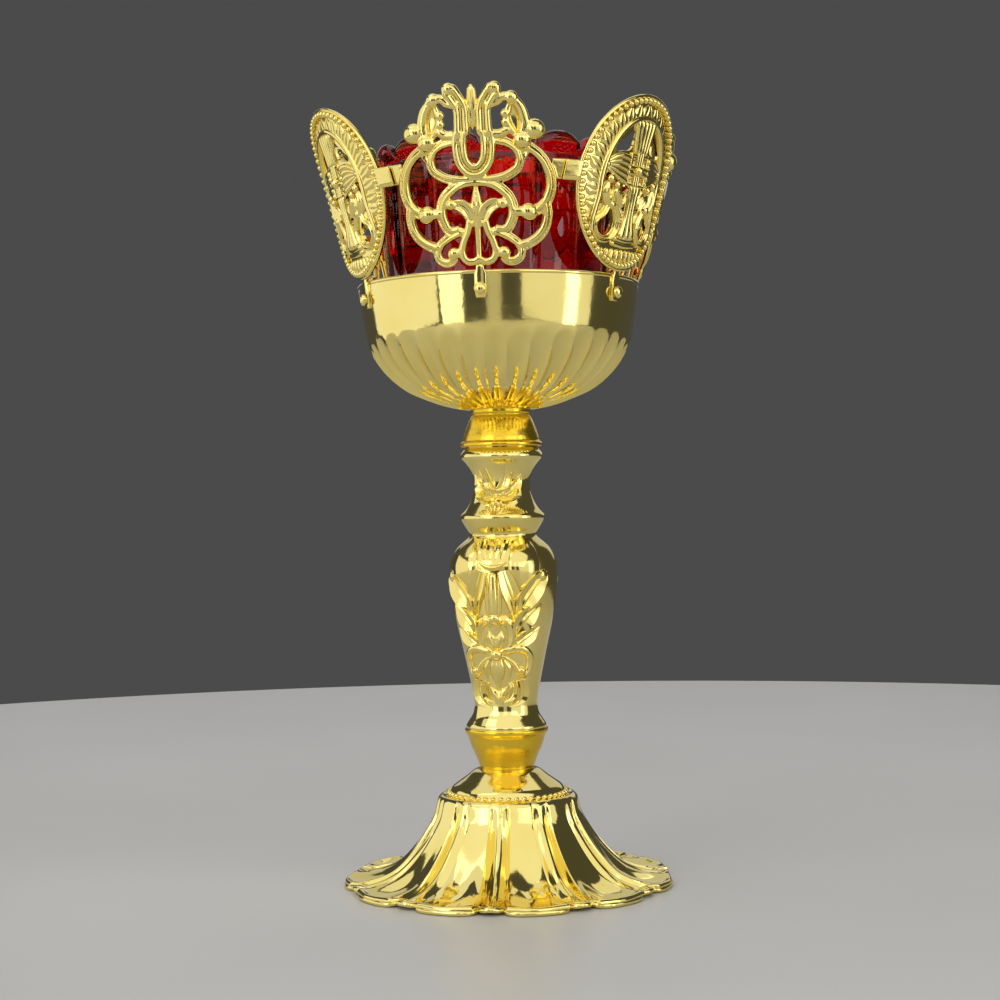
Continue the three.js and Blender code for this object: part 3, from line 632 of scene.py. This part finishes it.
def onto_stem(across, up, out):
    """Lays a drawing round the stem: across is a length along its surface."""
    radius = stem_radius(up)
    return on_circle(radius + out, across / radius + STEM_TURN, STEM_BASE + up)


def stem_face():
    """The flowers and leaves on the stem's front, drawn flat."""
    hollow = mirrored([
        [(6.6, 32.0, 2.0), (8.4, 36.0, 5.6), (11.0, 39.6, 7.0), (13.4, 42.2, 6.0), (15.4, 43.8, 4.0),
         (16.4, 45.4, 1.4)],
        leaf_run([(6.4, 28.4), (8.2, 31.2), (11.2, 33.8), (14.8, 35.8)], 6.2),
        leaf_run([(6.2, 24.8), (8.4, 26.2), (11.0, 27.7), (13.8, 29.4)], 4.8),
        leaf_run([(3.2, 45.6), (4.4, 41.5), (5.6, 37.5), (6.2, 33.5), (5.8, 30.4)], 5.4),
        leaf_run([(6.4, 14.2), (7.0, 11.4), (5.8, 8.4), (2.8, 6.7)], 4.0),
        leaf_run([(3.6, 13.8), (4.4, 11.6), (3.6, 9.4), (1.4, 8.0)], 2.8),
    ])
    lobes = mirrored([
        [(6.0, 54.6, 3.6), (7.8, 51.6, 7.4), (9.0, 48.0, 9.4), (9.4, 44.6, 8.6), (9.0, 41.4, 5.2),
         (8.4, 38.4, 1.6)],
    ])
    bow = mirrored([
        [(1.0, 21.6, 1.5), (4.0, 23.0, 2.2), (7.6, 23.1, 2.5), (9.6, 21.2, 2.5), (9.5, 18.2, 2.3),
         (8.0, 15.9, 2.3), (6.2, 16.4, 2.1), (5.0, 18.6, 1.7), (2.8, 20.6, 1.3)],
    ])
    leaves = mirrored([
        leaf_run([(0.4, 30.4), (2.2, 31.7), (4.2, 30.6), (4.9, 27.8), (4.3, 25.0), (2.6, 22.9)], 3.2, 0.7),
        leaf_run([(0.5, 24.6), (1.4, 26.6), (1.8, 28.6)], 3.0, 0.5),
        leaf_run([(0.5, 9.4), (1.6, 11.2), (2.6, 12.6)], 2.4, 0.5),
        leaf_run([(2.0, 20.2), (3.2, 17.4), (3.0, 14.6)], 2.4, 0.5),
    ])
    middle = [
        leaf_run([(0, 20.8), (0, 17.0), (0, 12.0)], 5.0, 0.3),
        leaf_run([(0, 26.4), (0, 24.2), (0, 22.2)], 3.4, 0.5),
        leaf_run([(0, 7.4), (0, 9.4), (0, 11.6)], 2.6, 0.5),
        [(-4.0, 48.0, 0.5), (-2.0, 46.8, 1.4), (0, 46.4, 1.8), (2.0, 46.8, 1.4), (4.0, 48.0, 0.5)],
    ]
    flutes = [[(x * 1.6, 49.0, 0.8), (x * 1.9, 51.6, 2.3), (x * 2.1, 54.6, 1.9)]
              for x in (-1.5, -0.5, 0.5, 1.5)]
    stamens = [[(x, 44.6, width * 0.7), (x * 0.85, 38.0, width), (x * 0.7, 33.0, width * 0.9)]
               for x, width in ((-2.1, 1.5), (0, 2.6), (2.1, 1.5))]
    wreath = mirrored([
        leaf_run([(0.2, 66.9), (3.4, 67.3), (5.8, 69.6), (7.8, 72.8)], 4.0, 0.6),
        leaf_run([(0.4, 67.4), (2.0, 69.6), (2.8, 72.4), (3.0, 75.2)], 3.0, 0.5),
        leaf_run([(2.6, 67.6), (4.4, 69.8), (5.2, 72.4), (5.4, 74.8)], 2.6, 0.5),
        leaf_run([(0.4, 67.0), (3.6, 65.7), (7.0, 66.2)], 2.6, 0.6),
    ])
    fan = []
    for k in range(-3, 4):
        turn = k * math.radians(24)
        tip_x = 3.9 * math.sin(turn)
        tip_y = 61.4 + 3.4 * math.cos(turn)
        root = (tip_x * 0.3, 61.6, 0.6)
        belly = (tip_x * 0.7, 61.4 + (tip_y - 61.4) * 0.7, 1.2)
        fan.append([root, belly, (tip_x, tip_y, 0.7)])
    return [
        strips("hollow", HOLLOW_LEAF, hollow),
        strips("lobes", LOBE, lobes),
        strips("leaves", LEAF, [*leaves, *middle, *flutes]),
        strips("stamens", ROUND_BAR, [round_ends(run) for run in stamens]),
        strips("wreath", HOLLOW_LEAF, wreath),
        strips("fan", ROUND_BAR, fan),
        strips("bow", ROUND_BAR, bow, closed=True),
        ball("bulb", (0, 31.9, 0.3), 1.7, 0.8),
        ball("knot", (0, 21.6, 0.5), 1.7, 0.9),
        ball("curl", (6.9, 16.8, 0.3), 1.3, 0.9),
        ball("curl", (-6.9, 16.8, 0.3), 1.3, 0.9),
        ball("curl", (15.4, 44.0, 0), 1.9, 0.5),
        ball("curl", (-15.4, 44.0, 0), 1.9, 0.5),
    ]


def make_stem():
    """A turned core with the same relief on its front and back."""
    core = turned_with_bore("stem_core", stem_line, STEM_BASE)
    face = reshape(join("stem_face", *stem_face()), onto_stem)
    back = turn_copy(face, "stem_back", math.pi)
    return join("cast_stem", core, face, back)


# Bowl

def flute_inset(radius, height, across):
    """How deep the bowl is pressed in. Across is 0 in a flute's middle, and 1 on the crest beside it."""
    below = max(0.0, FLUTE_TOP - height)
    width = FLUTE_TIP + (1 - FLUTE_TIP) * math.sqrt(1 - (1 - min(1.0, below / FLUTE_END)) ** 2)
    start = max(0.0, min(1.0, (radius - FLUTE_START) / FLUTE_RISE))
    depth = FLUTE_DEPTH * min(1.0, below / FLUTE_FADE) ** 0.5 * start
    return depth * math.cos(math.pi / 2 * min(1.0, across / width)) ** 0.8


def make_bowl():
    """The pressed bowl with flutes under its plain band, and its rolled rim."""
    line = smooth_line([(ROD_HOLE, 0), (8.6, 0), (14.6, 1.0), (20.2, 2.8), (27.5, 6.1), (33.6, 11.6),
                        (37.5, 18.2), (39.2, 26.0), (40.0, 32.0), (BOWL_RADIUS, 35.4)], 5)
    sections = []
    for k in range(13):
        share = k / 12
        section = []
        for radius, height in line:
            inset = flute_inset(radius, height, abs(share - 0.5) * 2)
            out = radius - inset * FLUTE_INWARDS
            section.append((share, out, BOWL_BASE + height + inset * FLUTE_UPWARDS))
        sections.append(section)
    shell = lofted("bowl_shell", sections, FLUTES)
    apply(shell, "SOLIDIFY", thickness=BOWL_SHEET, offset=-1.0, use_even_offset=False)
    roll = []
    for k in range(13):
        angle = k * math.tau / 12
        out = BOWL_RADIUS - BOWL_ROLL_INSET + BOWL_ROLL * math.cos(angle)
        roll.append((out, RIM_HEIGHT - BOWL_ROLL + BOWL_ROLL * math.sin(angle)))
    return join("gilded_bowl", shell, turned("bowl_roll", roll, 144))


# Glass

# Lines up the outside and down the inside. A point is its radius and height on a lobe's crest, and
# how much of the lobes' depth and of their drop it takes part in.
GLASS_OUTSIDE = [
    (0, 2.2, 0, 0), (14.5, 2.2, 0, 0), (16.5, 0.3, 0, 0), (19.0, 0, 0, 0), (21.0, 0, 0, 0), (23.2, 0.7, 0, 0),
    (24.2, 2.4, 0.1, 0), (27.0, 10.0, 0.35, 0), (30.6, 24.0, 0.55, 0), (33.0, 42.0, 0.7, 0),
    (34.0, 58.0, 0.8, 0), (34.0, 61.8, 0.8, 0), (33.4, 63.8, 0.8, 0), (34.3, 65.2, 1, 0.1),
    (34.9, 66.6, 1, 0.35), (34.8, 68.2, 1, 0.65), (34.2, 69.4, 1, 0.95), (33.4, 69.9, 1, 1),
]
GLASS_INSIDE = [
    (32.4, 69.7, 0.9, 1), (31.6, 68.8, 0.8, 0.9), (31.0, 66.0, 0.6, 0.5), (30.6, 62.2, 0.3, 0),
    (30.1, 52.0, 0.2, 0), (29.2, 40.0, 0.1, 0), (27.2, 24.0, 0, 0), (22.6, 11.0, 0, 0), (20.8, 8.6, 0, 0),
    (18.0, 7.2, 0, 0), (12.0, 7.0, 0, 0), (0, 7.0, 0, 0),
]


def make_glass():
    """A thick cup whose wall is scalloped into lobes, with notches between them in its rim."""
    points = [*smooth_line(GLASS_OUTSIDE, 4), *smooth_line(GLASS_INSIDE, 3)]
    sections = []
    for k in range(LOBE_STEPS + 1):
        share = k / LOBE_STEPS
        hollow = 1 - math.sqrt(max(0.0, 1 - (2 * share - 1) ** 2))
        section = []
        for radius, height, lobe, drop in points:
            out = max(0.0, radius - LOBE_DEPTH * lobe * hollow)
            section.append((share, out, GLASS_BASE + height - LOBE_DROP * drop * hollow))
        sections.append(section)
    return lofted("ruby_cup", sections, LOBES)


# Crown

def into_crown(across, up, out):
    """Bends a flat drawing round the lamp while it leans outwards."""
    radius = CROWN_RADIUS + up * math.sin(CROWN_LEAN)
    height = CROWN_HEIGHT + up * math.cos(CROWN_LEAN) - out * math.sin(CROWN_LEAN)
    return on_circle(radius + out * math.cos(CROWN_LEAN), across / radius, height)


def scroll_run(points, share):
    """A run of the scroll, from points in shares of the panel's half sizes and a share of a bar's width."""
    return [(u * SCROLL_HALF_WIDTH, v * HALF_HEIGHT, share * BAR_WIDTH) for u, v in points]


def tongue():
    """The tongue that hangs from a panel's foot down the bowl to its rivet."""
    line = [(40.65, 174.9), (40.6, 172.4), (40.5, 171.2), (40.0, 167.2), (39.7, 164.8)]
    half_widths = [1.1, 1.1, 1.6, 1.6, 1.3]

    def place(column, row):
        radius, height = line[row]
        return ((column - 1) * half_widths[row], -radius, height)

    piece = close_up(sheet("tongue", 3, len(line), place))
    apply(piece, "SOLIDIFY", thickness=TONGUE_THICKNESS, offset=0.0)
    apply(piece, "BEVEL", width=SOFT_EDGE, segments=2)
    return piece


def straps(half_width, out):
    """Lapped tabs at both sides of a panel, from its edge outwards."""
    tabs = []
    for side in (-1, 1):
        middle = side * (half_width + STRAP_REACH)
        bpy.ops.mesh.primitive_grid_add(x_subdivisions=6, y_subdivisions=4, size=1)
        tab = bpy.context.object
        for vertex in tab.data.vertices:
            x, y, _ = vertex.co
            vertex.co = (middle + x * STRAP_LENGTH, STRAP_LEVEL + y * STRAP_HEIGHT, out)
        apply(tab, "SOLIDIFY", thickness=STRAP_THICKNESS, offset=0.0)
        apply(tab, "BEVEL", width=SOFT_EDGE, segments=2)
        tabs.append(tab)
    return tabs


# Knobs on the scroll's right half: their places in shares of the half sizes, and their radii
SCROLL_KNOBS = [
    (0.475, 0.825, 1.9), (0.75, 0.49, 2.8), (0.585, 0.375, 2.5), (0.395, 0.655, 1.3), (0.4, 0.56, 1.3),
    (0.63, -0.403, 2.5), (0.31, -0.845, 1.8), (0.315, -0.31, 1.5), (0.28, 0.93, 1.8),
]


def make_scroll_panel():
    """Bars, leaves and knobs, drawn flat and melted together before they are bent."""
    plain = mirrored([
        round_ends(scroll_run([(0.475, 0.825), (0.385, 0.835), (0.285, 0.775), (0.17, 0.75)], 0.8)),
        round_ends(scroll_run([(0.43, 0.49), (0.34, 0.445), (0.17, 0.44)], 0.8)),
        round_ends(scroll_run([(0.585, 0.375), (0.75, 0.49)], 1.0)),
        round_ends(scroll_run([(0.64, -0.4), (0.45, -0.4)], 0.9)),
        scroll_run([(0.095, -0.5), (0.125, -0.61), (0.185, -0.735), (0.205, -0.855), (0.155, -0.93),
                    (0.07, -0.945), (0, -0.91)], 0.7),
    ])
    stepped = mirrored([
        round_ends(scroll_run([(0.58, 0.35), (0.68, 0.295), (0.79, 0.22), (0.89, 0.09), (0.93, -0.065),
                               (0.9, -0.22), (0.8, -0.345), (0.665, -0.405)], 1.05)),
        round_ends(scroll_run([(0.86, -0.31), (0.865, -0.47), (0.8, -0.615), (0.665, -0.725),
                               (0.5, -0.79)], 0.98)),
        scroll_run([(0.0, -0.06), (0.165, -0.08), (0.31, -0.15), (0.41, -0.25), (0.445, -0.38),
                    (0.415, -0.51), (0.335, -0.6), (0.22, -0.6)], 1.0),
        round_ends(scroll_run([(0.2, -0.6), (0.29, -0.635), (0.4, -0.685), (0.495, -0.765), (0.52, -0.86),
                               (0.46, -0.93), (0.36, -0.94), (0.3, -0.885)], 0.86)),
        scroll_run([(0.17, 0.4), (0.29, 0.37), (0.43, 0.335), (0.535, 0.24), (0.54, 0.11), (0.43, 0.01),
                    (0.225, -0.05), (0, -0.055)], 0.88),
    ])
    horn = scroll_run([(0.28, 0.93), (0.2, 0.835), (0.14, 0.725), (0.135, 0.6), (0.135, 0.44)], 1.4)
    twin = [
        *mirrored([round_ends(horn)]),
        scroll_run([(-0.16, 0.47), (-0.17, 0.27), (-0.12, 0.115), (0, 0.045), (0.12, 0.115), (0.17, 0.27),
                    (0.16, 0.47)], 1.4),
    ]
    leaf_edges = mirrored([
        [(10.4, 20.4, 2.0), (12.2, 18.4, 2.6), (13.4, 15.8, 2.9), (13.7, 13.0, 2.9), (13.1, 10.4, 2.7),
         (12.5, 8.4, 2.2)],
        [(10.2, 18.8, 1.4), (9.5, 17.0, 1.8), (8.9, 14.6, 2.0), (9.7, 12.2, 1.9), (11.2, 10.2, 1.6)],
    ])
    leaf_floors = mirrored([
        [(11.0, 19.2, 2.4), (11.4, 15.4, 4.8), (11.8, 12.0, 4.0), (12.2, 9.6, 2.0)],
    ])
    side_leaves = mirrored([
        [(12.6, 8.6, 2.8), (12.9, 5.8, 3.2), (12.2, 3.6, 1.6)],
        [(1.3, -13.6, 2.2), (1.9, -10.6, 3.4), (3.3, -8.4, 3.8), (5.4, -7.5, 3.0), (7.2, -7.7, 1.6)],
    ])
    spikes = [
        [(0, 11.8, 0.8), (0, 15.5, 2.0), (0, 20.0, 2.7), (0, 22.6, 2.2), (0, 23.6, 0.8)],
        [(0, -23.2, 1.4), (0, -15.0, 1.7), (0, -10.8, 2.2), (0, -7.2, 3.0), (0, -4.2, 1.8), (0, -1.6, 0.6)],
    ]
    knobs = []
    for side in (-1, 1):
        for u, v, radius in SCROLL_KNOBS:
            knobs.append(ball("knob", (side * u * SCROLL_HALF_WIDTH, v * HALF_HEIGHT, 0.1), radius, 0.8))
    panel = join(
        "scroll_drawing",
        strips("scroll_bars", ROUND_BAR, plain),
        strips("scroll_steps", STEPPED_BAR, stepped),
        strips("scroll_twins", TWIN_BAR, twin),
        strips("scroll_leaf_edges", ROUND_BAR, leaf_edges),
        strips("scroll_leaf_floors", PLATE, leaf_floors),
        strips("scroll_leaves", HOLLOW_LEAF, side_leaves),
        strips("scroll_spikes", LEAF, spikes),
        *straps(SCROLL_HALF_WIDTH, -0.55),
        *knobs,
    )
    apply(panel, "REMESH", mode="VOXEL", voxel_size=VOXEL)
    apply(panel, "SMOOTH", factor=0.5, iterations=6)
    reshape(panel, into_crown)
    return join("scroll_panel", panel, tongue())


def oval(inset, angle):
    """A point on the medallion's outline, or inside it."""
    across = (OVAL_HALF_WIDTH - inset) * math.cos(angle) * (1 + OVAL_EGG * math.sin(angle))
    return across, (HALF_HEIGHT - inset) * math.sin(angle)


def window(across, up):
    """A small upright opening beside the cross."""
    corners = [(-0.9, -0.85), (-0.75, -1.05), (0.75, -1.05), (0.9, -0.85), (0.9, 0.85), (0.75, 1.05),
               (-0.75, 1.05), (-0.9, 0.85)]
    return [(across + x, up + y) for x, y in corners]


# Right half of the medallion: outlines of its openings, and the upper part of the ring round them
OPENINGS = [
    [(10.3, 8.3), (8.8, 10.6), (6.6, 12.5), (4.1, 13.8), (3.9, 11.0), (4.6, 8.9), (7.2, 8.2)],
    [(11.9, 1.9), (9.6, 0.9), (7.2, -0.2), (6.8, -1.3), (9.4, -1.4), (12.0, -1.2)],
    [(12.4, -2.2), (12.8, -4.4), (12.1, -6.6), (11.5, -5.4), (11.8, -3.6)],
    [(9.2, -8.6), (11.1, -10.2), (12.1, -12.4), (11.0, -14.6), (8.8, -15.0), (7.3, -13.2), (7.3, -10.6)],
    [(5.6, -7.0), (2.7, -7.2), (2.5, -9.8), (2.9, -12.4), (3.6, -10.4), (4.4, -8.4)],
    [(5.2, -1.2), (2.9, -1.1), (2.4, -3.4), (2.4, -5.6), (3.3, -5.8), (4.2, -3.4)],
    window(2.55, 5.9),
    window(2.55, 0.95),
]
INNER_OVAL = [(4.6, 16.8), (8.4, 14.4), (11.3, 10.6), (13.1, 5.8), (13.7, 0.6), (13.5, -4.2), (13.9, -8.0),
              (14.2, -11.4), (13.8, -14.0)]


def medallion_plate():
    """The pierced plate, drawn as a filled outline with its openings."""
    bpy.ops.curve.primitive_bezier_circle_add()
    piece = bpy.context.object
    curve = piece.data
    curve.splines.clear()
    curve.dimensions = "2D"
    curve.fill_mode = "BOTH"
    curve.extrude = PLATE_DEPTH / 2
    curve.resolution_u = 6
    outlines = [[oval(0.3, k * math.tau / 24) for k in range(24)]]
    for points in OPENINGS:
        outlines.append(points)
        outlines.append([(-u, v) for u, v in points])
    for points in outlines:
        add_spline(curve, [(u, v, 1.0) for u, v in points], True)
    piece.location = (0, 0, PLATE_FRONT - PLATE_DEPTH / 2)
    bpy.ops.object.convert(target="MESH")
    piece = bpy.context.object
    bpy.ops.object.transform_apply(location=True, rotation=True, scale=True)
    close_up(piece)
    edit(piece)
    for k in range(-PLATE_CUTS, PLATE_CUTS + 1):
        bpy.ops.mesh.select_all(action="SELECT")
        bpy.ops.mesh.bisect(plane_co=(k * PLATE_CUT_PITCH, 0, 0), plane_no=(1, 0, 0))
    done()
    return piece


def border_leaves():
    """Leaves between the inner oval and the beads, all round but beside the loops and the base."""
    runs = []
    for k in range(BORDER_LEAVES):
        angle = (k + 0.5) * math.tau / BORDER_LEAVES - math.pi / 2
        if math.sin(angle) < -0.5:
            continue
        slant = math.copysign(0.05, math.cos(angle))
        root = oval(6.2 + 1.2 * abs(math.cos(angle)), angle)
        middle = oval(4.6, angle + slant)
        tip = oval(3.0, angle + 1.6 * slant)
        runs.append([(*root, 3.0), (*middle, 4.2), (*tip, 1.6)])
    return runs


def cross_bars():
    """The cross with its square frame, its fanned arms and the pillar under it."""
    upright = [[(x, -0.9, 1.1), (x, 3.4, 1.1), (x * 1.1, 8.2, 1.3)] for x in (-1.0, 0, 1.0)]
    crosspiece = [[(-4.4, v, 1.5), (0, v, 1.5), (4.4, v, 1.5)] for v in (2.75, 4.05)]
    frame_bars = [
        *mirrored([[(3.9, -0.7, 0.9), (3.9, 3.4, 0.9), (3.9, 7.9, 0.9)]]),
        [(-4.1, 7.5, 0.9), (0, 7.5, 0.9), (4.1, 7.5, 0.9)],
        [(-4.1, -0.55, 0.9), (0, -0.55, 0.9), (4.1, -0.55, 0.9)],
    ]
    top_arm = [[(x * 1.2, 8.2, 1.3), (x * 1.5, 12.4, 1.7), (x * 1.85, 16.6, 2.0)] for x in range(-2, 3)]
    fan = [(6.5, 6.8, 5.0), (5.0, 5.4, 4.5), (3.4, 4.1, 4.0), (1.8, 2.7, 3.6), (0.2, 1.4, 3.2)]
    side_arms = mirrored([
        [(4.6, near, 1.7), (8.4, halfway, 1.5), (12.4, far, 0.7)] for near, halfway, far in fan
    ])
    pillar = [[(x * 1.5, -1.0, 1.5), (x * 1.25, -5.6, 1.3), (x * 1.4, -10.0, 1.4), (x * 2.5, -14.9, 2.5)]
              for x in (-1, 0, 1)]
    base = [[(-half, v, 1.2), (0, v - 0.5, 1.3), (half, v, 1.2)] for half, v in ((4.5, -15.4), (5.2, -16.8))]
    return [*upright, *crosspiece, *frame_bars, *top_arm, *side_arms, *pillar, *base]


def make_medallion():
    """The pierced plate with its relief and beads, drawn flat before it is bent."""
    rim = [(*oval(0.5, k * math.tau / 40), 1.1) for k in range(40)]
    left = [(-u, v, INNER_BAR_WIDTH) for u, v in reversed(INNER_OVAL)]
    right = [(u, v, INNER_BAR_WIDTH) for u, v in INNER_OVAL]
    inner_oval = [*left, (0, 17.7, INNER_BAR_WIDTH), *right]
    loops = mirrored([
        [(8.9, -6.4, 1.7), (10.5, -8.9, 1.9), (12.8, -10.9, 2.0), (12.4, -14.2, 2.0), (8.9, -16.0, 2.0),
         (5.7, -14.5, 1.9), (4.7, -11.4, 1.9), (5.9, -8.2, 1.8), (7.6, -6.4, 1.6)],
    ])
    leaves = mirrored([
        leaf_run([(9.0, -6.8), (10.4, -4.6), (11.0, -2.2), (10.4, 0.6)], 3.4, 0.5),
        leaf_run([(4.4, -6.8), (5.8, -4.6), (7.2, -2.9), (7.4, -1.2)], 3.0, 0.5),
        leaf_run([(7.2, -6.6), (8.2, -4.4), (8.8, -2.0)], 2.4, 0.5),
        leaf_run([(4.2, -6.2), (3.4, -5.0), (3.3, -3.4)], 1.6, 0.5),
    ])
    rays = [[(x * 0.92, -18.7, 1.2), (x, -20.6, 1.6), (x * 1.05, -21.9 + 0.035 * x * x, 1.2)]
            for x in (-9.4, -7.1, -4.7, -2.35, 0, 2.35, 4.7, 7.1, 9.4)]
    bosses = [ball("boss", (0, 3.4, 0.5), 1.5, 0.9)]
    for side in (-1, 1):
        for u, v, radius in ((10.4, 0.4, 1.3), (7.5, -1.1, 1.1), (8.3, -6.5, 1.3), (12.6, 4.1, 0.9)):
            bosses.append(ball("boss", (side * u, v, 0.2), radius, 0.8))
    beads = []
    for k in range(OVAL_BEADS):
        u, v = oval(1.6, (k + 0.5) * math.tau / OVAL_BEADS)
        beads.append(ball("bead", (u, v, 0.45), OVAL_BEAD_RADIUS, 0.95, 10, 6))
    drawing = join(
        "medallion_drawing",
        medallion_plate(),
        strips("oval_rim", ROUND_BAR, [rim], closed=True),
        strips("inner_oval", ROUND_BAR, [inner_oval]),
        strips("border", VEINED_LEAF, border_leaves()),
        strips("cross", ROUND_BAR, [round_ends(run) for run in cross_bars()]),
        strips("loops", TWIN_BAR, loops, closed=True, steps=10),
        strips("oval_leaves", LEAF, leaves),
        strips("rays", ROUND_BAR, [round_ends(run) for run in rays]),
        *straps(OVAL_HALF_WIDTH, 0.55),
        *bosses,
        *beads,
    )
    reshape(drawing, into_crown)
    return join("medallion", drawing, tongue())


def make_rivet():
    """A round head on its shank, turned upright and then laid against the front tongue."""
    head = [(0.9, 0), (1.6, 0.05), (1.65, 0.35), (1.35, 0.95), (0.7, 1.28), (0, 1.35)]
    piece = turned("rivet", [(0, -1.4), *smooth_line([(0.9, -1.4), *head], 3)], 24)
    return reshape(piece, lambda x, y, z: (x, -(RIVET_SEAT + z), RIVET_HEIGHT + y))


# Assembly

settle(make_foot(), gilded, "holder", "gilded", "foot")
cup_collar = turned_with_bore("cup_collar", smooth_line(CUP_COLLAR, 3), COLLAR_BASE)
settle(cup_collar, amber, "holder", "amber_brass", "lower_collar")
settle(make_stem(), cast_gold, "holder", "gilded", "stem")
cone_collar = turned_with_bore("cone_collar", smooth_line(CONE_COLLAR, 3), CONE_BASE)
settle(cone_collar, amber, "holder", "amber_brass", "upper_collar")
settle(make_bowl(), gilded, "holder", "gilded", "bowl")
settle(make_glass(), ruby, "glass", "ruby_glass", "glass_cup")

scroll_panel = make_scroll_panel()
medallion = make_medallion()
rivet = make_rivet()
for k in range(PANEL_PAIRS):
    front = k * math.tau / PANEL_PAIRS
    beside = front + math.pi / PANEL_PAIRS
    number = k + 1
    piece = turn_copy(scroll_panel, f"scrollwork_{number}", front)
    settle(piece, cast_gold, "holder", "gilded", f"scroll_panel_{number}", crease=100)
    piece = turn_copy(medallion, f"oval_{number}", beside)
    settle(piece, cast_gold, "holder", "gilded", f"medallion_{number}")
    for rivet_number, angle in ((2 * number - 1, front), (2 * number, beside)):
        piece = turn_copy(rivet, f"round_rivet_{rivet_number}", angle)
        settle(piece, gilded, "holder", "gilded", f"rivet_{rivet_number}")
for drawing in (scroll_panel, medallion, rivet):
    bpy.data.objects.remove(drawing)

for node in ("tie_rod", "foot_washer", "foot_nut", "bowl_washer", "bowl_nut"):
    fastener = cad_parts[node]
    fastener.data.materials.clear()
    fastener.data.materials.append(steel)


# Studio

def make_floor():
    """A plain pale disc under the lamp."""
    material, nodes, links, shader, place = blank_material("pale_floor")
    shade = noise(nodes, links, place, 6.0)
    links.new(two_colours(nodes, links, shade, BRIGHT_FLOOR, DEEP_FLOOR), shader.inputs["Base Color"])
    shader.inputs["Roughness"].default_value = 0.4
    bpy.ops.mesh.primitive_circle_add(vertices=160, radius=FLOOR_RADIUS, fill_type="NGON")
    floor = bpy.context.object
    floor.name = "floor"
    floor.data.materials.append(material)


def make_lamp(name, place, size, power):
    """A soft panel of light that faces the lamp's middle."""
    bpy.ops.object.light_add(type="AREA", location=place)
    lamp = bpy.context.object
    lamp.name = name
    lamp.data.shape = "RECTANGLE"
    lamp.data.size = size[0]
    lamp.data.size_y = size[1]
    lamp.data.energy = power
    lamp.rotation_euler = (Vector(LAMP_AIM) - Vector(place)).to_track_quat("-Z", "Y").to_euler()


def make_studio():
    """The floor, the panels of light and a dim grey room."""
    make_floor()
    for lamp in LAMPS:
        make_lamp(*lamp)
    world = bpy.data.worlds.new("studio")
    bpy.context.scene.world = world
    world.use_nodes = True
    background = world.node_tree.nodes["Background"]
    background.inputs["Color"].default_value = (*ROOM_GREY, 1)
    background.inputs["Strength"].default_value = 1.0


def make_camera():
    """A camera at the viewing angle of the photograph."""
    bpy.ops.object.camera_add(location=on_circle(CAMERA_REACH, CAMERA_AZIMUTH, CAMERA_HEIGHT))
    camera = bpy.context.object
    aim = (Matrix.Rotation(CAMERA_AZIMUTH, 4, "Z") @ Matrix.Rotation(math.pi / 2, 4, "X")
           @ Matrix.Rotation(CAMERA_ROLL, 4, "Z"))
    camera.rotation_euler = aim.to_euler()
    camera.data.lens = LENS
    camera.data.shift_x = SHIFT
    bpy.context.scene.camera = camera


make_studio()
make_camera()
bpy.context.scene.view_settings.view_transform = "Standard"
